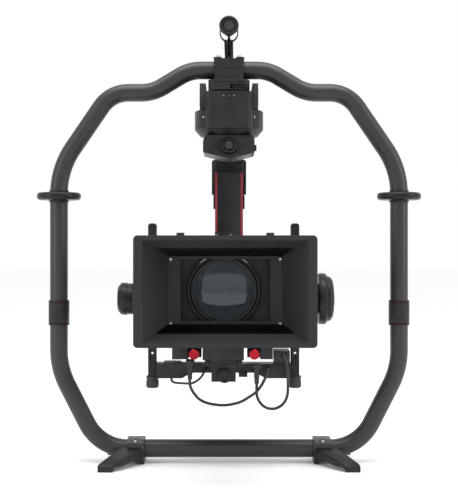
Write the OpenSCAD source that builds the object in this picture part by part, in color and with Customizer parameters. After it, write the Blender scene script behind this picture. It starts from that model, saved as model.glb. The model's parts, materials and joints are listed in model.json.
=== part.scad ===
// Three-axis camera gimbal on a ring grip, with a cinema camera mounted.
// Millimetres. X right, Y away from the lens side, Z up.
// The origin is on the floor under the centre of the ring.

/* [Ring grip] */
// Distance from the centre to the axis of each side tube
ring_half_w = 289; // [280:1:350]
// Height of the tube axis at the top centre
ring_top_z = 666; // [600:1:800]
// Height of the tube axis at the bottom
ring_bottom_z = 24; // [23:1:40]
// Outside diameter of the carbon tube
tube_d = 30; // [25:1:34]
// Wall of the carbon tube
tube_wall = 2.5; // [1.5:0.5:5]
// Height where the upper and lower halves are joined
joint_z = 254.5; // [225:0.5:300]
// Bend radius of the crooks beside the head
crook_r = 68; // [50:1:90]
// Slope of the crooks
crook_angle = 31; // [20:1:40]
// Straight length between the bends of a crook
crook_run = 36; // [20:1:50]
// Flat length between a crook and its shoulder
shoulder_flat = 23; // [10:1:40]
// Bend radius of the shoulders
shoulder_r = 55; // [40:1:70]
// Lean of the straight below each shoulder
shoulder_lean = 34.3; // [25:0.1:45]
// Length of that straight
shoulder_run = 85.5; // [60:0.5:110]
// Bend radius from that straight into the side tube
upper_bend_r = 136; // [100:1:160]
// Lean of the straight above each lower corner
lower_lean = 27; // [20:1:35]
// Bend radius from the side tube into that straight
lower_bend_r = 130; // [90:1:160]
// Length of that straight
lower_run = 73; // [40:1:90]
// Bend radius of the lower corners
corner_r = 78; // [60:1:100]

/* [Hand stops and joint collars] */
// Height of the hand stops
stop_z = 452; // [400:1:480]
// Diameter of a hand stop
stop_d = 74; // [50:1:90]
// Thickness of a hand stop
stop_h = 12.5; // [8:0.5:20]
// Outside diameter of a joint collar
collar_d = 35; // [34.5:0.5:42]
// Length of a joint collar
collar_h = 36; // [30:1:60]
// Height of each coloured ring beside a collar
collar_ring_h = 2.5; // [2:0.5:5]

/* [Feet] */
// Distance from the centre to the middle of a foot clamp
foot_x = 157.5; // [140:0.5:160]
// Width of a foot clamp along the tube
foot_clamp_w = 29; // [20:1:32]
// Depth of a foot clamp
foot_clamp_d = 44; // [40:1:60]
// Reach of a leg in front of and behind the tube
leg_reach = 82; // [60:1:120]
// How far a leg splays outwards
leg_splay = 40; // [20:1:60]
// Width of a leg at its tip
leg_tip_w = 24; // [16:1:32]
// Thickness of a rubber foot pad
pad_h = 6; // [4:0.5:10]

/* [Ring clamp, handle and release plate] */
// Width of the ring clamp
clamp_w = 48; // [40:1:60]
// Depth of the ring clamp
clamp_d = 50; // [40:1:60]
// Width of the quick-release plate
plate_w = 69; // [56:1:80]
// Depth of the quick-release plate
plate_d = 84; // [70:1:100]
// Width of the handle post
post_w = 14.4; // [10:0.2:20]
// Outside diameter of the handle hoop and end cap
hoop_d = 32; // [26:1:40]
// Height of the hoop's centre over the tube axis
hoop_rise = 63.5; // [55:0.5:80]
// Reach of the handle grip towards the front
grip_reach = 66; // [55:1:90]
// Diameter of the handle grip
grip_d = 15; // [12:1:18]

/* [Head and pan motor] */
// Width of the head housing
head_w = 76; // [68:1:80]
// Front face of the head housing, from the pan axis
head_front = 62; // [60:1:70]
// Outside diameter of the pan motor
pan_d = 116; // [104:1:120]
// Diameter of the pan motor's shaft
pan_shaft_d = 30; // [20:1:32]
// Thickness of a battery
battery_w = 10; // [8:1:14]
// Depth of a battery
battery_d = 84; // [60:1:90]
// Height of a battery
battery_h = 43; // [36:1:46]

/* [Arm clamp and pan arm] */
// Width of the arm clamp housing
arm_clamp_w = 85; // [72:1:96]
// Width of the arm's horizontal beam
beam_w = 44; // [36:1:50]
// Height of the arm's horizontal beam
beam_h = 24; // [18:1:26]
// Travel of the arm each way in its clamp
arm_travel = 8; // [4:1:12]
// Diameter of the arm clamp knob
arm_knob_d = 26; // [20:1:30]
// Width of the arm's upright
arm_w = 52.4; // [46:0.2:60]
// Front face of the arm's upright, from the pan axis
arm_front = 185; // [180:1:195]
// Depth of the arm's upright
arm_d = 30; // [24:1:34]

/* [Roll axis] */
// Diameter of the roll motor
roll_d = 90; // [76:1:100]
// Depth of the roll motor
roll_depth = 33; // [30:1:33]
// Height of the yoke's section
yoke_h = 32; // [26:1:40]
// Inside width of the yoke
yoke_inner_w = 286; // [282:1:300]
// Offset of the yoke, cage and camera from the pan axis
yoke_x = -9; // [-14:1:-4]

/* [Tilt axis] */
// Height of the tube's top axis over the roll and tilt axes
tilt_drop = 388; // [380:1:400]
// Diameter of the tilt motor
tilt_d = 87; // [70:1:100]
// Diameter of the tilt motor's cover
tilt_cover_d = 75.5; // [60:0.5:86]
// Diameter of the pivot opposite the tilt motor
pivot_d = 54.6; // [40:0.2:60]
// Diameter of the tilt shafts
tilt_shaft_d = 16; // [10:1:20]

/* [Cage] */
// Width of a cage post
cage_post_w = 14.2; // [10:0.2:16]
// Depth of a cage post
cage_post_d = 20; // [14:1:24]
// Distance between the axes of the cage posts
cage_span = 242; // [236:1:244]
// Height of the cage posts over the tilt axis
cage_over = 128; // [110:1:140]
// Depth of the cage posts under the tilt axis
cage_under = 130; // [124:1:136]
// Thickness of the base crossbar
crossbar_h = 14.6; // [10:0.2:18]
// Depth of the base crossbar
crossbar_d = 40; // [30:1:50]
// Diameter of the dovetail knob
dovetail_knob_d = 23; // [18:1:26]

/* [Camera] */
// Width of the camera body
camera_w = 150; // [120:1:168]
// Height of the camera body
camera_h = 132; // [110:1:140]
// Diameter of the camera support rods
rod_d = 15; // [12:1:16]
// Distance between the camera support rods
rod_span = 100; // [98:1:102]
// Outside diameter of the lens front
lens_d = 114; // [100:1:118]
// Outside diameter of the focus ring
focus_d = 108; // [100:1:116]
// Width of the matte box at its front
hood_w = 275.5; // [240:0.5:280]
// Height of the matte box at its front
hood_h = 168.4; // [150:0.2:180]
// Front face of the matte box, from the pan axis
hood_front = 220; // [200:1:222]
// Wall of the matte box hood
hood_wall = 3; // [2:0.5:5]
// Width of the filter window
filter_w = 144; // [120:1:150]
// Height of the filter window
filter_h = 101.6; // [90:0.1:104]

/* [Fits] */
// Gap between parts that slide or turn past each other
gap = 0.3; // [0.25:0.05:0.5]
// Radial clearance of a shaft in its bearing
running_gap = 0.05; // [0.02:0.01:0.1]
// Radial clearance of a part that is clamped or pressed
seat_gap = 0.02; // [0:0.01:0.05]

/* [Hidden] */
$fn = 72;
cut = 1;

// Ring
tube_r = tube_d / 2;
bore_r = tube_r - tube_wall;
shoulder_angle = 90 - shoulder_lean;
crook_rise = 2 * crook_r * (1 - cos(crook_angle)) + crook_run * sin(crook_angle);
crook_reach = 2 * crook_r * sin(crook_angle) + crook_run * cos(crook_angle);
shoulder_rise = shoulder_r * (1 - cos(shoulder_angle)) + shoulder_run * cos(shoulder_lean);
shoulder_reach = shoulder_r * sin(shoulder_angle) + shoulder_run * sin(shoulder_lean);
upper_bend_rise = upper_bend_r * sin(shoulder_lean);
upper_bend_reach = upper_bend_r * (1 - cos(shoulder_lean));
upper_side_run = ring_top_z - joint_z - crook_rise - shoulder_rise - upper_bend_rise;
top_run = ring_half_w - crook_reach - shoulder_flat - shoulder_reach - upper_bend_reach;
lower_rise = lower_bend_r * sin(lower_lean) + lower_run * cos(lower_lean) + corner_r * (1 - sin(lower_lean));
lower_reach = lower_bend_r * (1 - cos(lower_lean)) + lower_run * sin(lower_lean)
    + corner_r * cos(lower_lean);
lower_side_run = joint_z - ring_bottom_z - lower_rise;
bottom_run = ring_half_w - lower_reach;
flange_h = 1;
bend_thin = 0.05;
foot_bore = 4;
collar_r = collar_d / 2;
collar_z = [joint_z - collar_h / 2, joint_z + collar_h / 2];

// Heights down from the top of the ring
clamp_bottom = ring_top_z - 21;
clamp_top = ring_top_z + tube_r + 1.8;
ear_top = clamp_top + 2;
plate_h = 17.5;
plate_bottom = clamp_bottom - plate_h;
neck_h = 5;
head_top = plate_bottom - neck_h;
rim_h = 2.5;
head_over = 27;
pan_top = head_top - head_over;
pan_h = 31;
pan_bottom = pan_top - pan_h;
pan_taper = 11.5;
pan_lip = pan_bottom - pan_taper;
head_bottom = pan_bottom - 2.5;
arm_clamp_top = pan_lip - 1;
beam_top = arm_clamp_top - 5;
beam_bottom = beam_top - beam_h;
beam_mid = beam_bottom + 11;
arm_clamp_side = beam_bottom;
arm_clamp_v = beam_bottom - 9;
tilt_z = ring_top_z - tilt_drop;

lever_x = 8;
lever_z = plate_bottom + 2;
lever_slot = 7;

// Pan motor
pan_r = pan_d / 2;
pan_wall = 7;
pan_shaft_r = pan_shaft_d / 2;
pan_neck_r = 30;
pan_rotor_r = 35;
pan_stator_bore = pan_rotor_r + 1;
pan_bearing_r = pan_shaft_r + 7;

// Arm clamp and arm
arm_clamp_front = 45;
arm_clamp_rear = 45;
arm_clamp_wall = 8.7;
beam_front = arm_clamp_front - arm_clamp_wall - gap - arm_travel;
arm_rear = arm_front + arm_d;
elbow_fillet = 18;
arm_bottom = tilt_z - roll_d / 2;
stripe_w = 4.5;
rail_steps = [[18, 83, 6.1], [83, 110, 3.2]];

// Roll axis
roll_r = roll_d / 2;
roll_front = arm_front - roll_depth;
roll_plate_h = 5.5;
roll_shaft_r = 10;
yoke_rear = roll_front - roll_plate_h - gap;
yoke_bar = 18;
yoke_half = yoke_inner_w / 2;
yoke_tip = 22;
roll_travel = 8;
rail_half_w = 40;

// Tilt axis
tilt_shaft_r = tilt_shaft_d / 2;
motor_side = yoke_x + yoke_half;
pivot_side = yoke_x - yoke_half;
motor_arm_w = 17;
pivot_arm_w = 11;
tilt_motor_x = motor_side + motor_arm_w;
tilt_motor_l = 15;
tilt_cover_l = 11;
pivot_x = pivot_side - pivot_arm_w;
pivot_l = 25;
bearing_wall = 6;
cage_half = cage_span / 2;
post_inner = cage_half - cage_post_w / 2;
post_outer = cage_half + cage_post_w / 2;
cheek_w = 8;
grip_plate = 11;

// Cage base
crossbar_top = tilt_z - 109;
crossbar_bottom = crossbar_top - crossbar_h;
post_bottom = tilt_z - cage_under;
post_cap_r = 10.8;
accessory_r = 3.175;
dovetail_z = tilt_z - 126;
dovetail_block_w = 40.8;
dovetail_block_bottom = tilt_z - 136.5;
dovetail_front = 38;
tongue_w = 48;
tongue_bottom = crossbar_top + 2.8;
tongue_top = tongue_bottom + 5.5;

// Camera
camera_x = yoke_x + 1;
base_top = tilt_z - 72;
rod_z_axis = tilt_z - 90;
lens_z = tilt_z + 20;
camera_front = -40;
camera_rear = 70;
camera_shell = 4;
lens_front = -150;
hood_x = camera_x + 2.5;
hood_z = tilt_z + 21.8;
hood_back = -164;
stage_back = -136;
rim_depth = 8;
rim_round = 6.5;
hood_open_w = 248;
hood_open_h = 153;
throat_w = 175.5;
throat_h = 104;
stage_w = 190;
stage_h = 122;
tray_side = 6;
slot_w = filter_w + 2 * tray_side + 2 * gap;
tray_y = [-160, -154];
tray_tab_h = 29;

// Leads, by hand: power and video hang in front of the cage, control lies behind them
power_d = 5;
video_d = 5;
control_d = 4;
power_route = [
    [-65, -40, 146], [-65, -40, 138], [-62, -40, 129], [-56, -40, 120], [-48, -40, 112], [-37, -40, 107],
    [-23, -40, 104], [-8, -40, 103], [7, -40, 105], [20, -41, 109], [33, -44, 117], [45, -47, 126],
    [54, -45, 137], [60, -41, 148], [64, -38, 157], [66, -31, 164], [66, -20, 164]
];
video_route = [
    [46, -40, 139], [46, -40, 128], [47, -40, 117], [52, -40, 107], [60, -40, 100], [71, -40, 97],
    [83, -40, 100], [92, -40, 108], [97, -40, 120], [98, -40, 134], [98, -40, 146], [97, -40, 158],
    [96, -39, 169], [93, -36, 179], [91, -29, 186], [91, -20, 186]
];
control_route = [
    [-97, -12, 145], [-97, -12, 141], [-94, -13, 138], [-88, -16, 137], [-80, -20, 137], [-71, -24, 137],
    [-62, -27, 138],
    [-54, -29, 142], [-47, -30, 148], [-42, -30, 156], [-38, -26, 163], [-38, -20, 163]
];
plug_w = 9;

// Finishes
carbon = [0.16, 0.16, 0.165];
graphite = [0.2, 0.2, 0.21];
black = [0.1, 0.1, 0.105];
grey = [0.36, 0.36, 0.37];
steel = [0.6, 0.6, 0.62];
copper = [0.6, 0.35, 0.2];
red = [0.6, 0.08, 0.12];
rubber = [0.07, 0.07, 0.07];

// A box between two corners
module bar(lo, hi) {
    translate(lo) cube([hi[0] - lo[0], hi[1] - lo[1], hi[2] - lo[2]]);
}

// Cylinders along each axis; at is the place in the other two axes
module rod_x(r, x0, x1, at) {
    translate([x0, at[0], at[1]]) rotate([0, 90, 0]) cylinder(r = r, h = x1 - x0);
}
module rod_y(r, y0, y1, at) {
    translate([at[0], y0, at[1]]) rotate([-90, 0, 0]) cylinder(r = r, h = y1 - y0);
}
module rod_z(r, z0, z1, at = [0, 0]) {
    translate([at[0], at[1], z0]) cylinder(r = r, h = z1 - z0);
}

// A flat outline pushed along X (drawn in Y, Z), along Y (in X, Z) or along Z (in X, Y)
module along_x(x0, x1) {
    translate([x0, 0, 0]) rotate([90, 0, 90]) linear_extrude(height = x1 - x0) children();
}
module along_y(y0, y1) {
    translate([0, y1, 0]) rotate([90, 0, 0]) linear_extrude(height = y1 - y0) children();
}
module along_z(z0, z1) {
    translate([0, 0, z0]) linear_extrude(height = z1 - z0) children();
}

// A profile of [radius, distance] turned about an axis
module turned_x(at) {
    translate([0, at[0], at[1]]) rotate([0, 90, 0]) rotate_extrude() children();
}
module turned_y(at) {
    translate([at[0], 0, at[1]]) rotate([-90, 0, 0]) rotate_extrude() children();
}

module both_sides() {
    children();
    mirror([1, 0, 0]) children();
}

module front_and_back() {
    children();
    mirror([0, 1, 0]) children();
}

module round_rect(w, h, r) {
    square([w - 2 * r, h], center = true);
    square([w, h - 2 * r], center = true);
    for (x = [-1, 1], y = [-1, 1])
        translate([x * (w / 2 - r), y * (h / 2 - r)]) circle(r);
}

// One straight stretch of hollow tube, then whatever follows it
module run(length) {
    linear_extrude(height = length) tube_section();
    translate([0, 0, length]) children();
}

// One bend of hollow tube towards +X, or -X for a negative angle, then whatever follows it
module bend(bend_r, angle) {
    side = angle < 0 ? -1 : 1;
    turn = abs(angle);
    rotate([0, 0, side > 0 ? 0 : 180]) translate([bend_r, 0, 0]) rotate([90, 0, 0])
        rotate([0, 0, 180 - turn]) rotate_extrude(angle = turn)
            translate([bend_r, 0]) tube_section(bend_thin);
    translate([side * bend_r * (1 - cos(turn)), 0, bend_r * sin(turn)]) rotate([0, side * turn, 0])
        children();
}

module tube_section(thinner = 0) {
    difference() {
        circle(tube_r - thinner);
        circle(bore_r + thinner);
    }
}

// Upper half of the ring, one side, from the joint up to the middle
module upper_path() {
    start = flange_h / 2;
    translate([ring_half_w, 0, joint_z + start])
        run(upper_side_run - start) bend(upper_bend_r, -shoulder_lean)
            run(shoulder_run) bend(shoulder_r, -shoulder_angle)
                run(shoulder_flat) bend(crook_r, crook_angle)
                    run(crook_run) bend(crook_r, -crook_angle) run(top_run);
}

// Lower half of the ring, one side, from the joint down to the middle
module lower_path() {
    start = flange_h / 2;
    translate([ring_half_w, 0, joint_z - start]) mirror([0, 0, 1])
        run(lower_side_run - start) bend(lower_bend_r, -lower_lean)
            run(lower_run) bend(corner_r, lower_lean - 90) run(bottom_run);
}

module ring_upper() color(carbon) both_sides() upper_path();
module ring_lower() color(carbon) both_sides() lower_path();

// Sleeves inside the two joints, with a thin flange between the tube ends
module joint_spigots() color(steel) {
    half_l = 32;
    wall = 3;
    both_sides() difference() {
        union() {
            rod_z(bore_r - seat_gap, joint_z - half_l, joint_z + half_l, [ring_half_w, 0]);
            rod_z(tube_r, joint_z - flange_h / 2, joint_z + flange_h / 2, [ring_half_w, 0]);
        }
        rod_z(bore_r - wall, joint_z - half_l - cut, joint_z + half_l + cut, [ring_half_w, 0]);
    }
}

// Coloured rings that show where each collar seats
module joint_rings() color(red) {
    both_sides() for (z = [collar_z[0] - gap - collar_ring_h, collar_z[1] + gap])
        difference() {
            rod_z(collar_r + 0.2, z, z + collar_ring_h, [ring_half_w, 0]);
            rod_z(tube_r + seat_gap, z - cut, z + collar_ring_h + cut, [ring_half_w, 0]);
        }
}

module joint_collar() {
    panel_w = 15;
    panel_h = 20;
    chamfer = 1;
    translate([ring_half_w, 0, 0]) difference() {
        rotate_extrude() polygon([
            [tube_r + running_gap, collar_z[0]],
            [collar_r - chamfer, collar_z[0]],
            [collar_r, collar_z[0] + chamfer],
            [collar_r, collar_z[1] - chamfer],
            [collar_r - chamfer, collar_z[1]],
            [tube_r + running_gap, collar_z[1]]
        ]);
        bar([-panel_w / 2, -collar_r - cut, joint_z - panel_h / 2],
            [panel_w / 2, -collar_r + 0.9, joint_z + panel_h / 2]);
    }
}

module collar_right() color(graphite) joint_collar();
module collar_left() color(graphite) mirror([1, 0, 0]) joint_collar();

// Round stops that keep the hands from sliding down the side tubes
module hand_stops() color(black) {
    hub_r = tube_r + 1.5;
    hub_h = 4;
    edge = 5;
    half = stop_h / 2;
    both_sides() translate([ring_half_w, 0, stop_z]) rotate_extrude() union() {
        translate([tube_r + seat_gap, -half]) square([stop_d / 2 - tube_r - seat_gap - edge, stop_h]);
        translate([tube_r + seat_gap, -half - hub_h]) square([hub_r - tube_r, stop_h + 2 * hub_h]);
        translate([stop_d / 2 - edge - cut, edge - half]) square([edge + cut, stop_h - 2 * edge]);
        for (y = [edge - half, half - edge])
            translate([stop_d / 2 - edge, y]) circle(edge);
    }
}

// One leg of the left foot, drawn towards the front
module leg() {
    root_y = foot_clamp_d / 2 - 4;
    root_in = foot_clamp_w / 2;
    root_out = foot_clamp_w / 2 + 8;
    tip_in = leg_splay - 8;
    root_top = 30;
    root_under = 13;
    tip_top = pad_h + 7;
    intersection() {
        translate([-foot_x, 0, 0]) along_z(0, root_top + cut) polygon([
            [root_in, -root_y], [-root_out, -root_y], [-tip_in - leg_tip_w, -leg_reach],
            [-tip_in, -leg_reach]
        ]);
        along_x(-foot_x - leg_splay - leg_tip_w - cut, -foot_x + foot_clamp_w) polygon([
            [-root_y, root_under], [-root_y, root_top], [-leg_reach + 4, tip_top],
            [-leg_reach, tip_top - 3], [-leg_reach, pad_h], [-leg_reach + 20, pad_h]
        ]);
    }
}

module left_foot() {
    split = 0.5;
    end_plate_w = 7;
    x0 = -foot_x - foot_clamp_w / 2;
    x1 = -foot_x + foot_clamp_w / 2;
    difference() {
        union() {
            bar([x0, -foot_clamp_d / 2, 5], [x1, foot_clamp_d / 2, ring_bottom_z - split]);
            bar([x1 - end_plate_w, -foot_clamp_d / 2 + 2, 1], [x1, foot_clamp_d / 2 - 2, 6]);
            front_and_back() leg();
        }
        rod_x(tube_r + seat_gap, x0 - leg_splay, x1 + cut, [0, ring_bottom_z]);
        for (y = [-1, 1])
            rod_z(2.1, ring_bottom_z - 12, ring_bottom_z + cut, [-foot_x, y * (tube_r + 3.6)]);
        bar([x0 - leg_splay, -foot_clamp_d / 2, ring_bottom_z - split],
            [x1 + cut, foot_clamp_d / 2, ring_bottom_z + 20]);
    }
}

module foot_left() color(graphite) left_foot();
module foot_right() color(graphite) mirror([1, 0, 0]) left_foot();

// Upper halves of the two foot clamps
module foot_clamp_caps() color(grey) {
    split = 0.5;
    top = ring_bottom_z + tube_r + 3;
    chamfer = 6;
    half = foot_clamp_d / 2;
    x0 = foot_x - foot_clamp_w / 2;
    both_sides() difference() {
        along_x(x0, x0 + foot_clamp_w) polygon([
            [-half, ring_bottom_z + split], [half, ring_bottom_z + split], [half, top - chamfer],
            [half - chamfer, top], [chamfer - half, top], [-half, top - chamfer]
        ]);
        rod_x(tube_r + seat_gap, x0 - cut, x0 + foot_clamp_w + cut, [0, ring_bottom_z]);
        for (y = [-1, 1])
            rod_z(2.1, ring_bottom_z, top + cut, [foot_x, y * (tube_r + 3.6)]);
        for (y = [-1, 1])
            rod_z(3.7, top - foot_bore, top + cut, [foot_x, y * (tube_r + 3.6)]);
    }
}

// Rubber pads under the tips of the legs
module foot_pads() color(rubber) {
    tip_in = foot_x + leg_splay - 8;
    pad_d = 20;
    both_sides() front_and_back()
        bar([tip_in, -leg_reach, 0], [tip_in + leg_tip_w, -leg_reach + pad_d, pad_h]);
}

// Lower half of the clamp that holds the ring, on top of the release plate
module ring_clamp_block() color(graphite) {
    split = 0.4;
    panel_w = 18;
    proud = 1.5;
    difference() {
        union() {
            bar([-clamp_w / 2, -clamp_d / 2, clamp_bottom], [clamp_w / 2, clamp_d / 2, ring_top_z - split]);
            bar([-panel_w / 2, -clamp_d / 2 - proud, clamp_bottom + 1],
                [panel_w / 2, clamp_d / 2, ring_top_z - 3]);
            bar([-clamp_w / 2, -clamp_d / 2 - proud, clamp_bottom],
                [clamp_w / 2, clamp_d / 2, clamp_bottom + 3]);
        }
        rod_x(tube_r + seat_gap, -clamp_w, clamp_w, [0, ring_top_z]);
        for (x = [-1, 1], y = [-1, 1])
            rod_z(2.1, ring_top_z - 16, ring_top_z + cut, [x * (clamp_w / 2 - 6), y * (clamp_d / 2 - 4.6)]);
    }
}

// Upper half of the ring clamp, with two raised ears for the handle
module ring_clamp_cap() color(graphite) {
    split = 0.4;
    ear_w = 14;
    flare = 2;
    half = clamp_w / 2;
    difference() {
        union() {
            bar([-half, -clamp_d / 2, ring_top_z + split], [half, clamp_d / 2, clamp_top]);
            for (side = [-1, 1])
                along_y(-clamp_d / 2, clamp_d / 2) polygon([
                    [side * half, ring_top_z + split + 4], [side * (half + flare), ear_top],
                    [side * (half + flare - ear_w), ear_top], [side * (half - ear_w + 3), clamp_top - 3]
                ]);
        }
        rod_x(tube_r + seat_gap, -clamp_w, clamp_w, [0, ring_top_z]);
        for (x = [-1, 1], y = [-1, 1])
            rod_z(2.1, ring_top_z, ear_top + cut, [x * (half - 6), y * (clamp_d / 2 - 4.6)]);
    }
}

module socket_screw(length) {
    head_r = 3.4;
    head_h = 3;
    difference() {
        union() {
            translate([0, 0, -length]) cylinder(r = 2.05, h = length + head_h / 2);
            cylinder(r = head_r, h = head_h);
        }
        translate([0, 0, head_h / 2]) cylinder(r = 1.7, h = head_h);
    }
}

// Screws of the ring clamp and of the two foot clamps
module clamp_screws() color(steel) {
    for (x = [-1, 1], y = [-1, 1])
        translate([x * (clamp_w / 2 - 6), y * (clamp_d / 2 - 4.6), ear_top])
            socket_screw(ear_top - ring_top_z + 12);
    for (x = [-1, 1], y = [-1, 1])
        translate([x * foot_x, y * (tube_r + 3.6), ring_bottom_z + tube_r + 3 - foot_bore])
            socket_screw(tube_r + 12 - foot_bore);
}

// Post and thin hoop of the top handle
module handle_post() color(black) {
    post_d = 18;
    hoop_wall = 2;
    hoop_l = 9;
    hoop_z = ring_top_z + hoop_rise;
    web_w = 4;
    hoop_r = hoop_d / 2;
    difference() {
        union() {
            bar([-post_w / 2, -post_d / 2, clamp_top], [post_w / 2, post_d / 2, hoop_z - hoop_r + 3]);
            rod_y(hoop_r, -hoop_l / 2, hoop_l / 2, [0, hoop_z]);
            along_x(-web_w / 2, web_w / 2) polygon([
                [-post_d / 2 + 1, hoop_z - 40], [-post_d / 2 + 1, hoop_z - hoop_r - 1],
                [-grip_reach + 1, hoop_z - hoop_r + 8], [-grip_reach + 1, hoop_z - hoop_r + 1]
            ]);
            for (x = [-1, 1])
                along_y(-hoop_l / 2, hoop_l / 2) polygon([
                    [x * web_w / 2, hoop_z - hoop_r - 2], [x * post_w / 2, hoop_z - hoop_r - 2],
                    [x * web_w / 2, hoop_z - hoop_r + 8]
                ]);
        }
        difference() {
            rod_y(hoop_r - hoop_wall, -post_d, post_d, [0, hoop_z]);
            along_x(-web_w / 2 - 1.6, web_w / 2 + 1.6) polygon([
                [-post_d, hoop_z - hoop_r], [post_d, hoop_z - hoop_r], [hoop_l / 2, hoop_z - hoop_r + 5],
                [-hoop_l / 2, hoop_z - hoop_r + 5], [-post_d, hoop_z - hoop_r + 2.6]
            ]);
        }
        rod_y(grip_d / 2 + seat_gap, -hoop_l, hoop_l, [0, hoop_z + hoop_r - hoop_wall - grip_d / 2]);
    }
}

// Round bar that the hand holds, from the end cap back through the hoop
module handle_grip() color(rubber) {
    hoop_wall = 2;
    back = 14;
    z = ring_top_z + hoop_rise + hoop_d / 2 - hoop_wall - grip_d / 2;
    rod_y(grip_d / 2, -grip_reach + 4, back, [0, z]);
    rod_y(grip_d / 2 + 2.2, back - 4, back + 2, [0, z - 2]);
}

// Dished round cap on the front end of the handle
module handle_end_cap() color(graphite) {
    thick = 8;
    dish_r = 9.5;
    r = hoop_d / 2;
    hoop_wall = 2;
    grip_z = ring_top_z + hoop_rise + r - hoop_wall - grip_d / 2;
    difference() {
        turned_y([0, ring_top_z + hoop_rise]) polygon([
            [0, 1.2 - grip_reach], [dish_r - 1, 1.2 - grip_reach], [dish_r, 2.2 - grip_reach],
            [dish_r + 1.6, 2.2 - grip_reach], [dish_r + 2.4, -grip_reach], [r - 1.5, -grip_reach],
            [r, 1.5 - grip_reach], [r, thick - 1.5 - grip_reach], [r - 1.5, thick - grip_reach],
            [0, thick - grip_reach]
        ]);
        rod_y(grip_d / 2 + seat_gap, 4 - grip_reach, thick, [0, grip_z]);
        bar([-2.02, 1 - grip_reach, grip_z - 40], [2.02, thick, ring_top_z + hoop_rise - r + 8.1]);
    }
}

// Eight-sided quick-release plate between the head and the ring clamp
module release_plate() color(graphite) {
    corner = 9;
    x = plate_w / 2;
    y = plate_d / 2;
    difference() {
        union() {
            along_z(plate_bottom, clamp_bottom) polygon([
                [corner - x, -y], [x - corner, -y], [x, corner - y], [x, y - corner], [x - corner, y],
                [corner - x, y], [-x, y - corner], [-x, corner - y]
            ]);
            along_z(head_top, plate_bottom) round_rect(plate_w - 14, plate_d - 18, 6);
        }
        bar([-x - cut, -y - cut, plate_bottom + 11.5], [x + cut, -y + 1, plate_bottom + 13]);
        bar([corner - x + 3, -y - cut, plate_bottom + 3], [corner - x + 12, -y + 0.8, clamp_bottom - 6]);
        bar([lever_x - 6, -y - cut, lever_z], [x + cut, 11 - y, lever_z + lever_slot]);
    }
}

// Lever that locks the release plate; its free end swings out to the front
module release_lever() color(black) {
    y = -plate_d / 2;
    z0 = lever_z + gap;
    z1 = lever_z + lever_slot - gap;
    tip = plate_w / 2 - 1;
    rod_z(3.4, z0, z1, [lever_x, y + 5.5]);
    bar([lever_x, y + 2.1, z0], [tip, y + 7, z1]);
    bar([tip - 7, y - 0.6, z0 + 0.5], [tip, y + 3, z1 - 0.5]);
}

// Outline of the head in plan
module head_plan(shrink = 0) {
    translate([0, (58 - head_front) / 2]) round_rect(head_w - 2 * shrink, head_front + 58 - 2 * shrink, 9);
}

// Electronics housing: it stands on the pan motor and comes down over its front
module head_housing() color(graphite) {
    wing_w = 5.4;
    wing_top = head_top - 8;
    recess_z = head_top - 8;
    wall = 3;
    difference() {
        union() {
            along_z(pan_top, head_top - rim_h) head_plan();
            along_z(head_top - rim_h, head_top) head_plan(-0.4);
            intersection() {
                along_z(head_bottom, pan_top) head_plan();
                bar([-head_w, -head_front - cut, head_bottom], [head_w, -20, pan_top + cut]);
            }
            for (side = [-1, 1])
                along_y(10 - head_front, 26 - head_front) polygon([
                    [side * (head_w / 2 - 2), pan_top], [side * (head_w / 2 + wing_w), pan_top],
                    [side * (head_w / 2 + wing_w + 1), wing_top - 6], [side * (head_w / 2 + 1), wing_top],
                    [side * (head_w / 2 - 2), wing_top]
                ]);
        }
        rod_z(pan_r + seat_gap, head_bottom - cut, pan_top, [0, 0]);
        along_z(pan_top + 3, head_top - rim_h - 3) head_plan(wall + 4);
        rod_y(6.4, -head_front - cut, 1.4 - head_front, [0, recess_z]);
        for (x = [-7, 7])
            rod_y(4.6, -head_front - cut, 1.4 - head_front, [x, recess_z + 1.5]);
        rod_y(3.3, -head_front, 10 - head_front, [0, recess_z]);
    }
}

// Fixed drum of the pan motor, tapered below, open in the middle for the rotor's neck
module pan_motor_housing() color(graphite) {
    opening = pan_neck_r + 3;
    lip_r = pan_r - 9.7;
    boss_r = pan_bearing_r + 3;
    chamfer = 1.2;
    rotate_extrude() difference() {
        polygon([
            [opening, pan_lip], [lip_r, pan_lip], [pan_r - chamfer, pan_bottom - 1.6],
            [pan_r, pan_bottom], [pan_r, pan_top - chamfer], [pan_r - chamfer, pan_top], [0, pan_top],
            [0, pan_bottom + 3], [opening, pan_bottom + 3]
        ]);
        translate([boss_r, pan_bottom + 2]) square([pan_r - pan_wall - boss_r, pan_h - 7]);
        translate([0, pan_bottom + 1]) square([boss_r + cut, 4]);
        translate([0, pan_bottom + 1]) square([pan_bearing_r + seat_gap, pan_h - 6]);
    }
}

module pan_stator() color(copper) {
    outer = pan_r - pan_wall - 2;
    rotate_extrude() translate([pan_stator_bore, pan_bottom + 6])
        square([outer - pan_stator_bore, pan_h - 11]);
}

// Bearings of the pan shaft
module pan_bearings() color(steel) {
    bearing_h = 7;
    for (z = [pan_bottom + 6.2, pan_top - 5 - bearing_h])
        difference() {
            rod_z(pan_bearing_r, z, z + bearing_h);
            rod_z(pan_shaft_r + running_gap, z - cut, z + bearing_h + cut);
        }
}

module battery() {
    latch_w = 30;
    x0 = head_w / 2 + gap + 0.5;
    y0 = -head_front + 27;
    z0 = pan_top + gap + 0.3;
    difference() {
        bar([x0, y0, z0], [x0 + battery_w, y0 + battery_d, z0 + battery_h]);
        bar([x0 + battery_w - 1, y0 + battery_d - 20, z0 + 8],
            [x0 + battery_w + cut, y0 + battery_d - 14, z0 + battery_h - 8]);
    }
    bar([x0 + 2, y0 + battery_d, z0 + battery_h / 2 - latch_w / 4],
        [x0 + battery_w - 2, y0 + battery_d + 3, z0 + battery_h / 2 + latch_w / 4]);
}

module battery_right() color(black) battery();
module battery_left() color(black) mirror([1, 0, 0]) battery();

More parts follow.
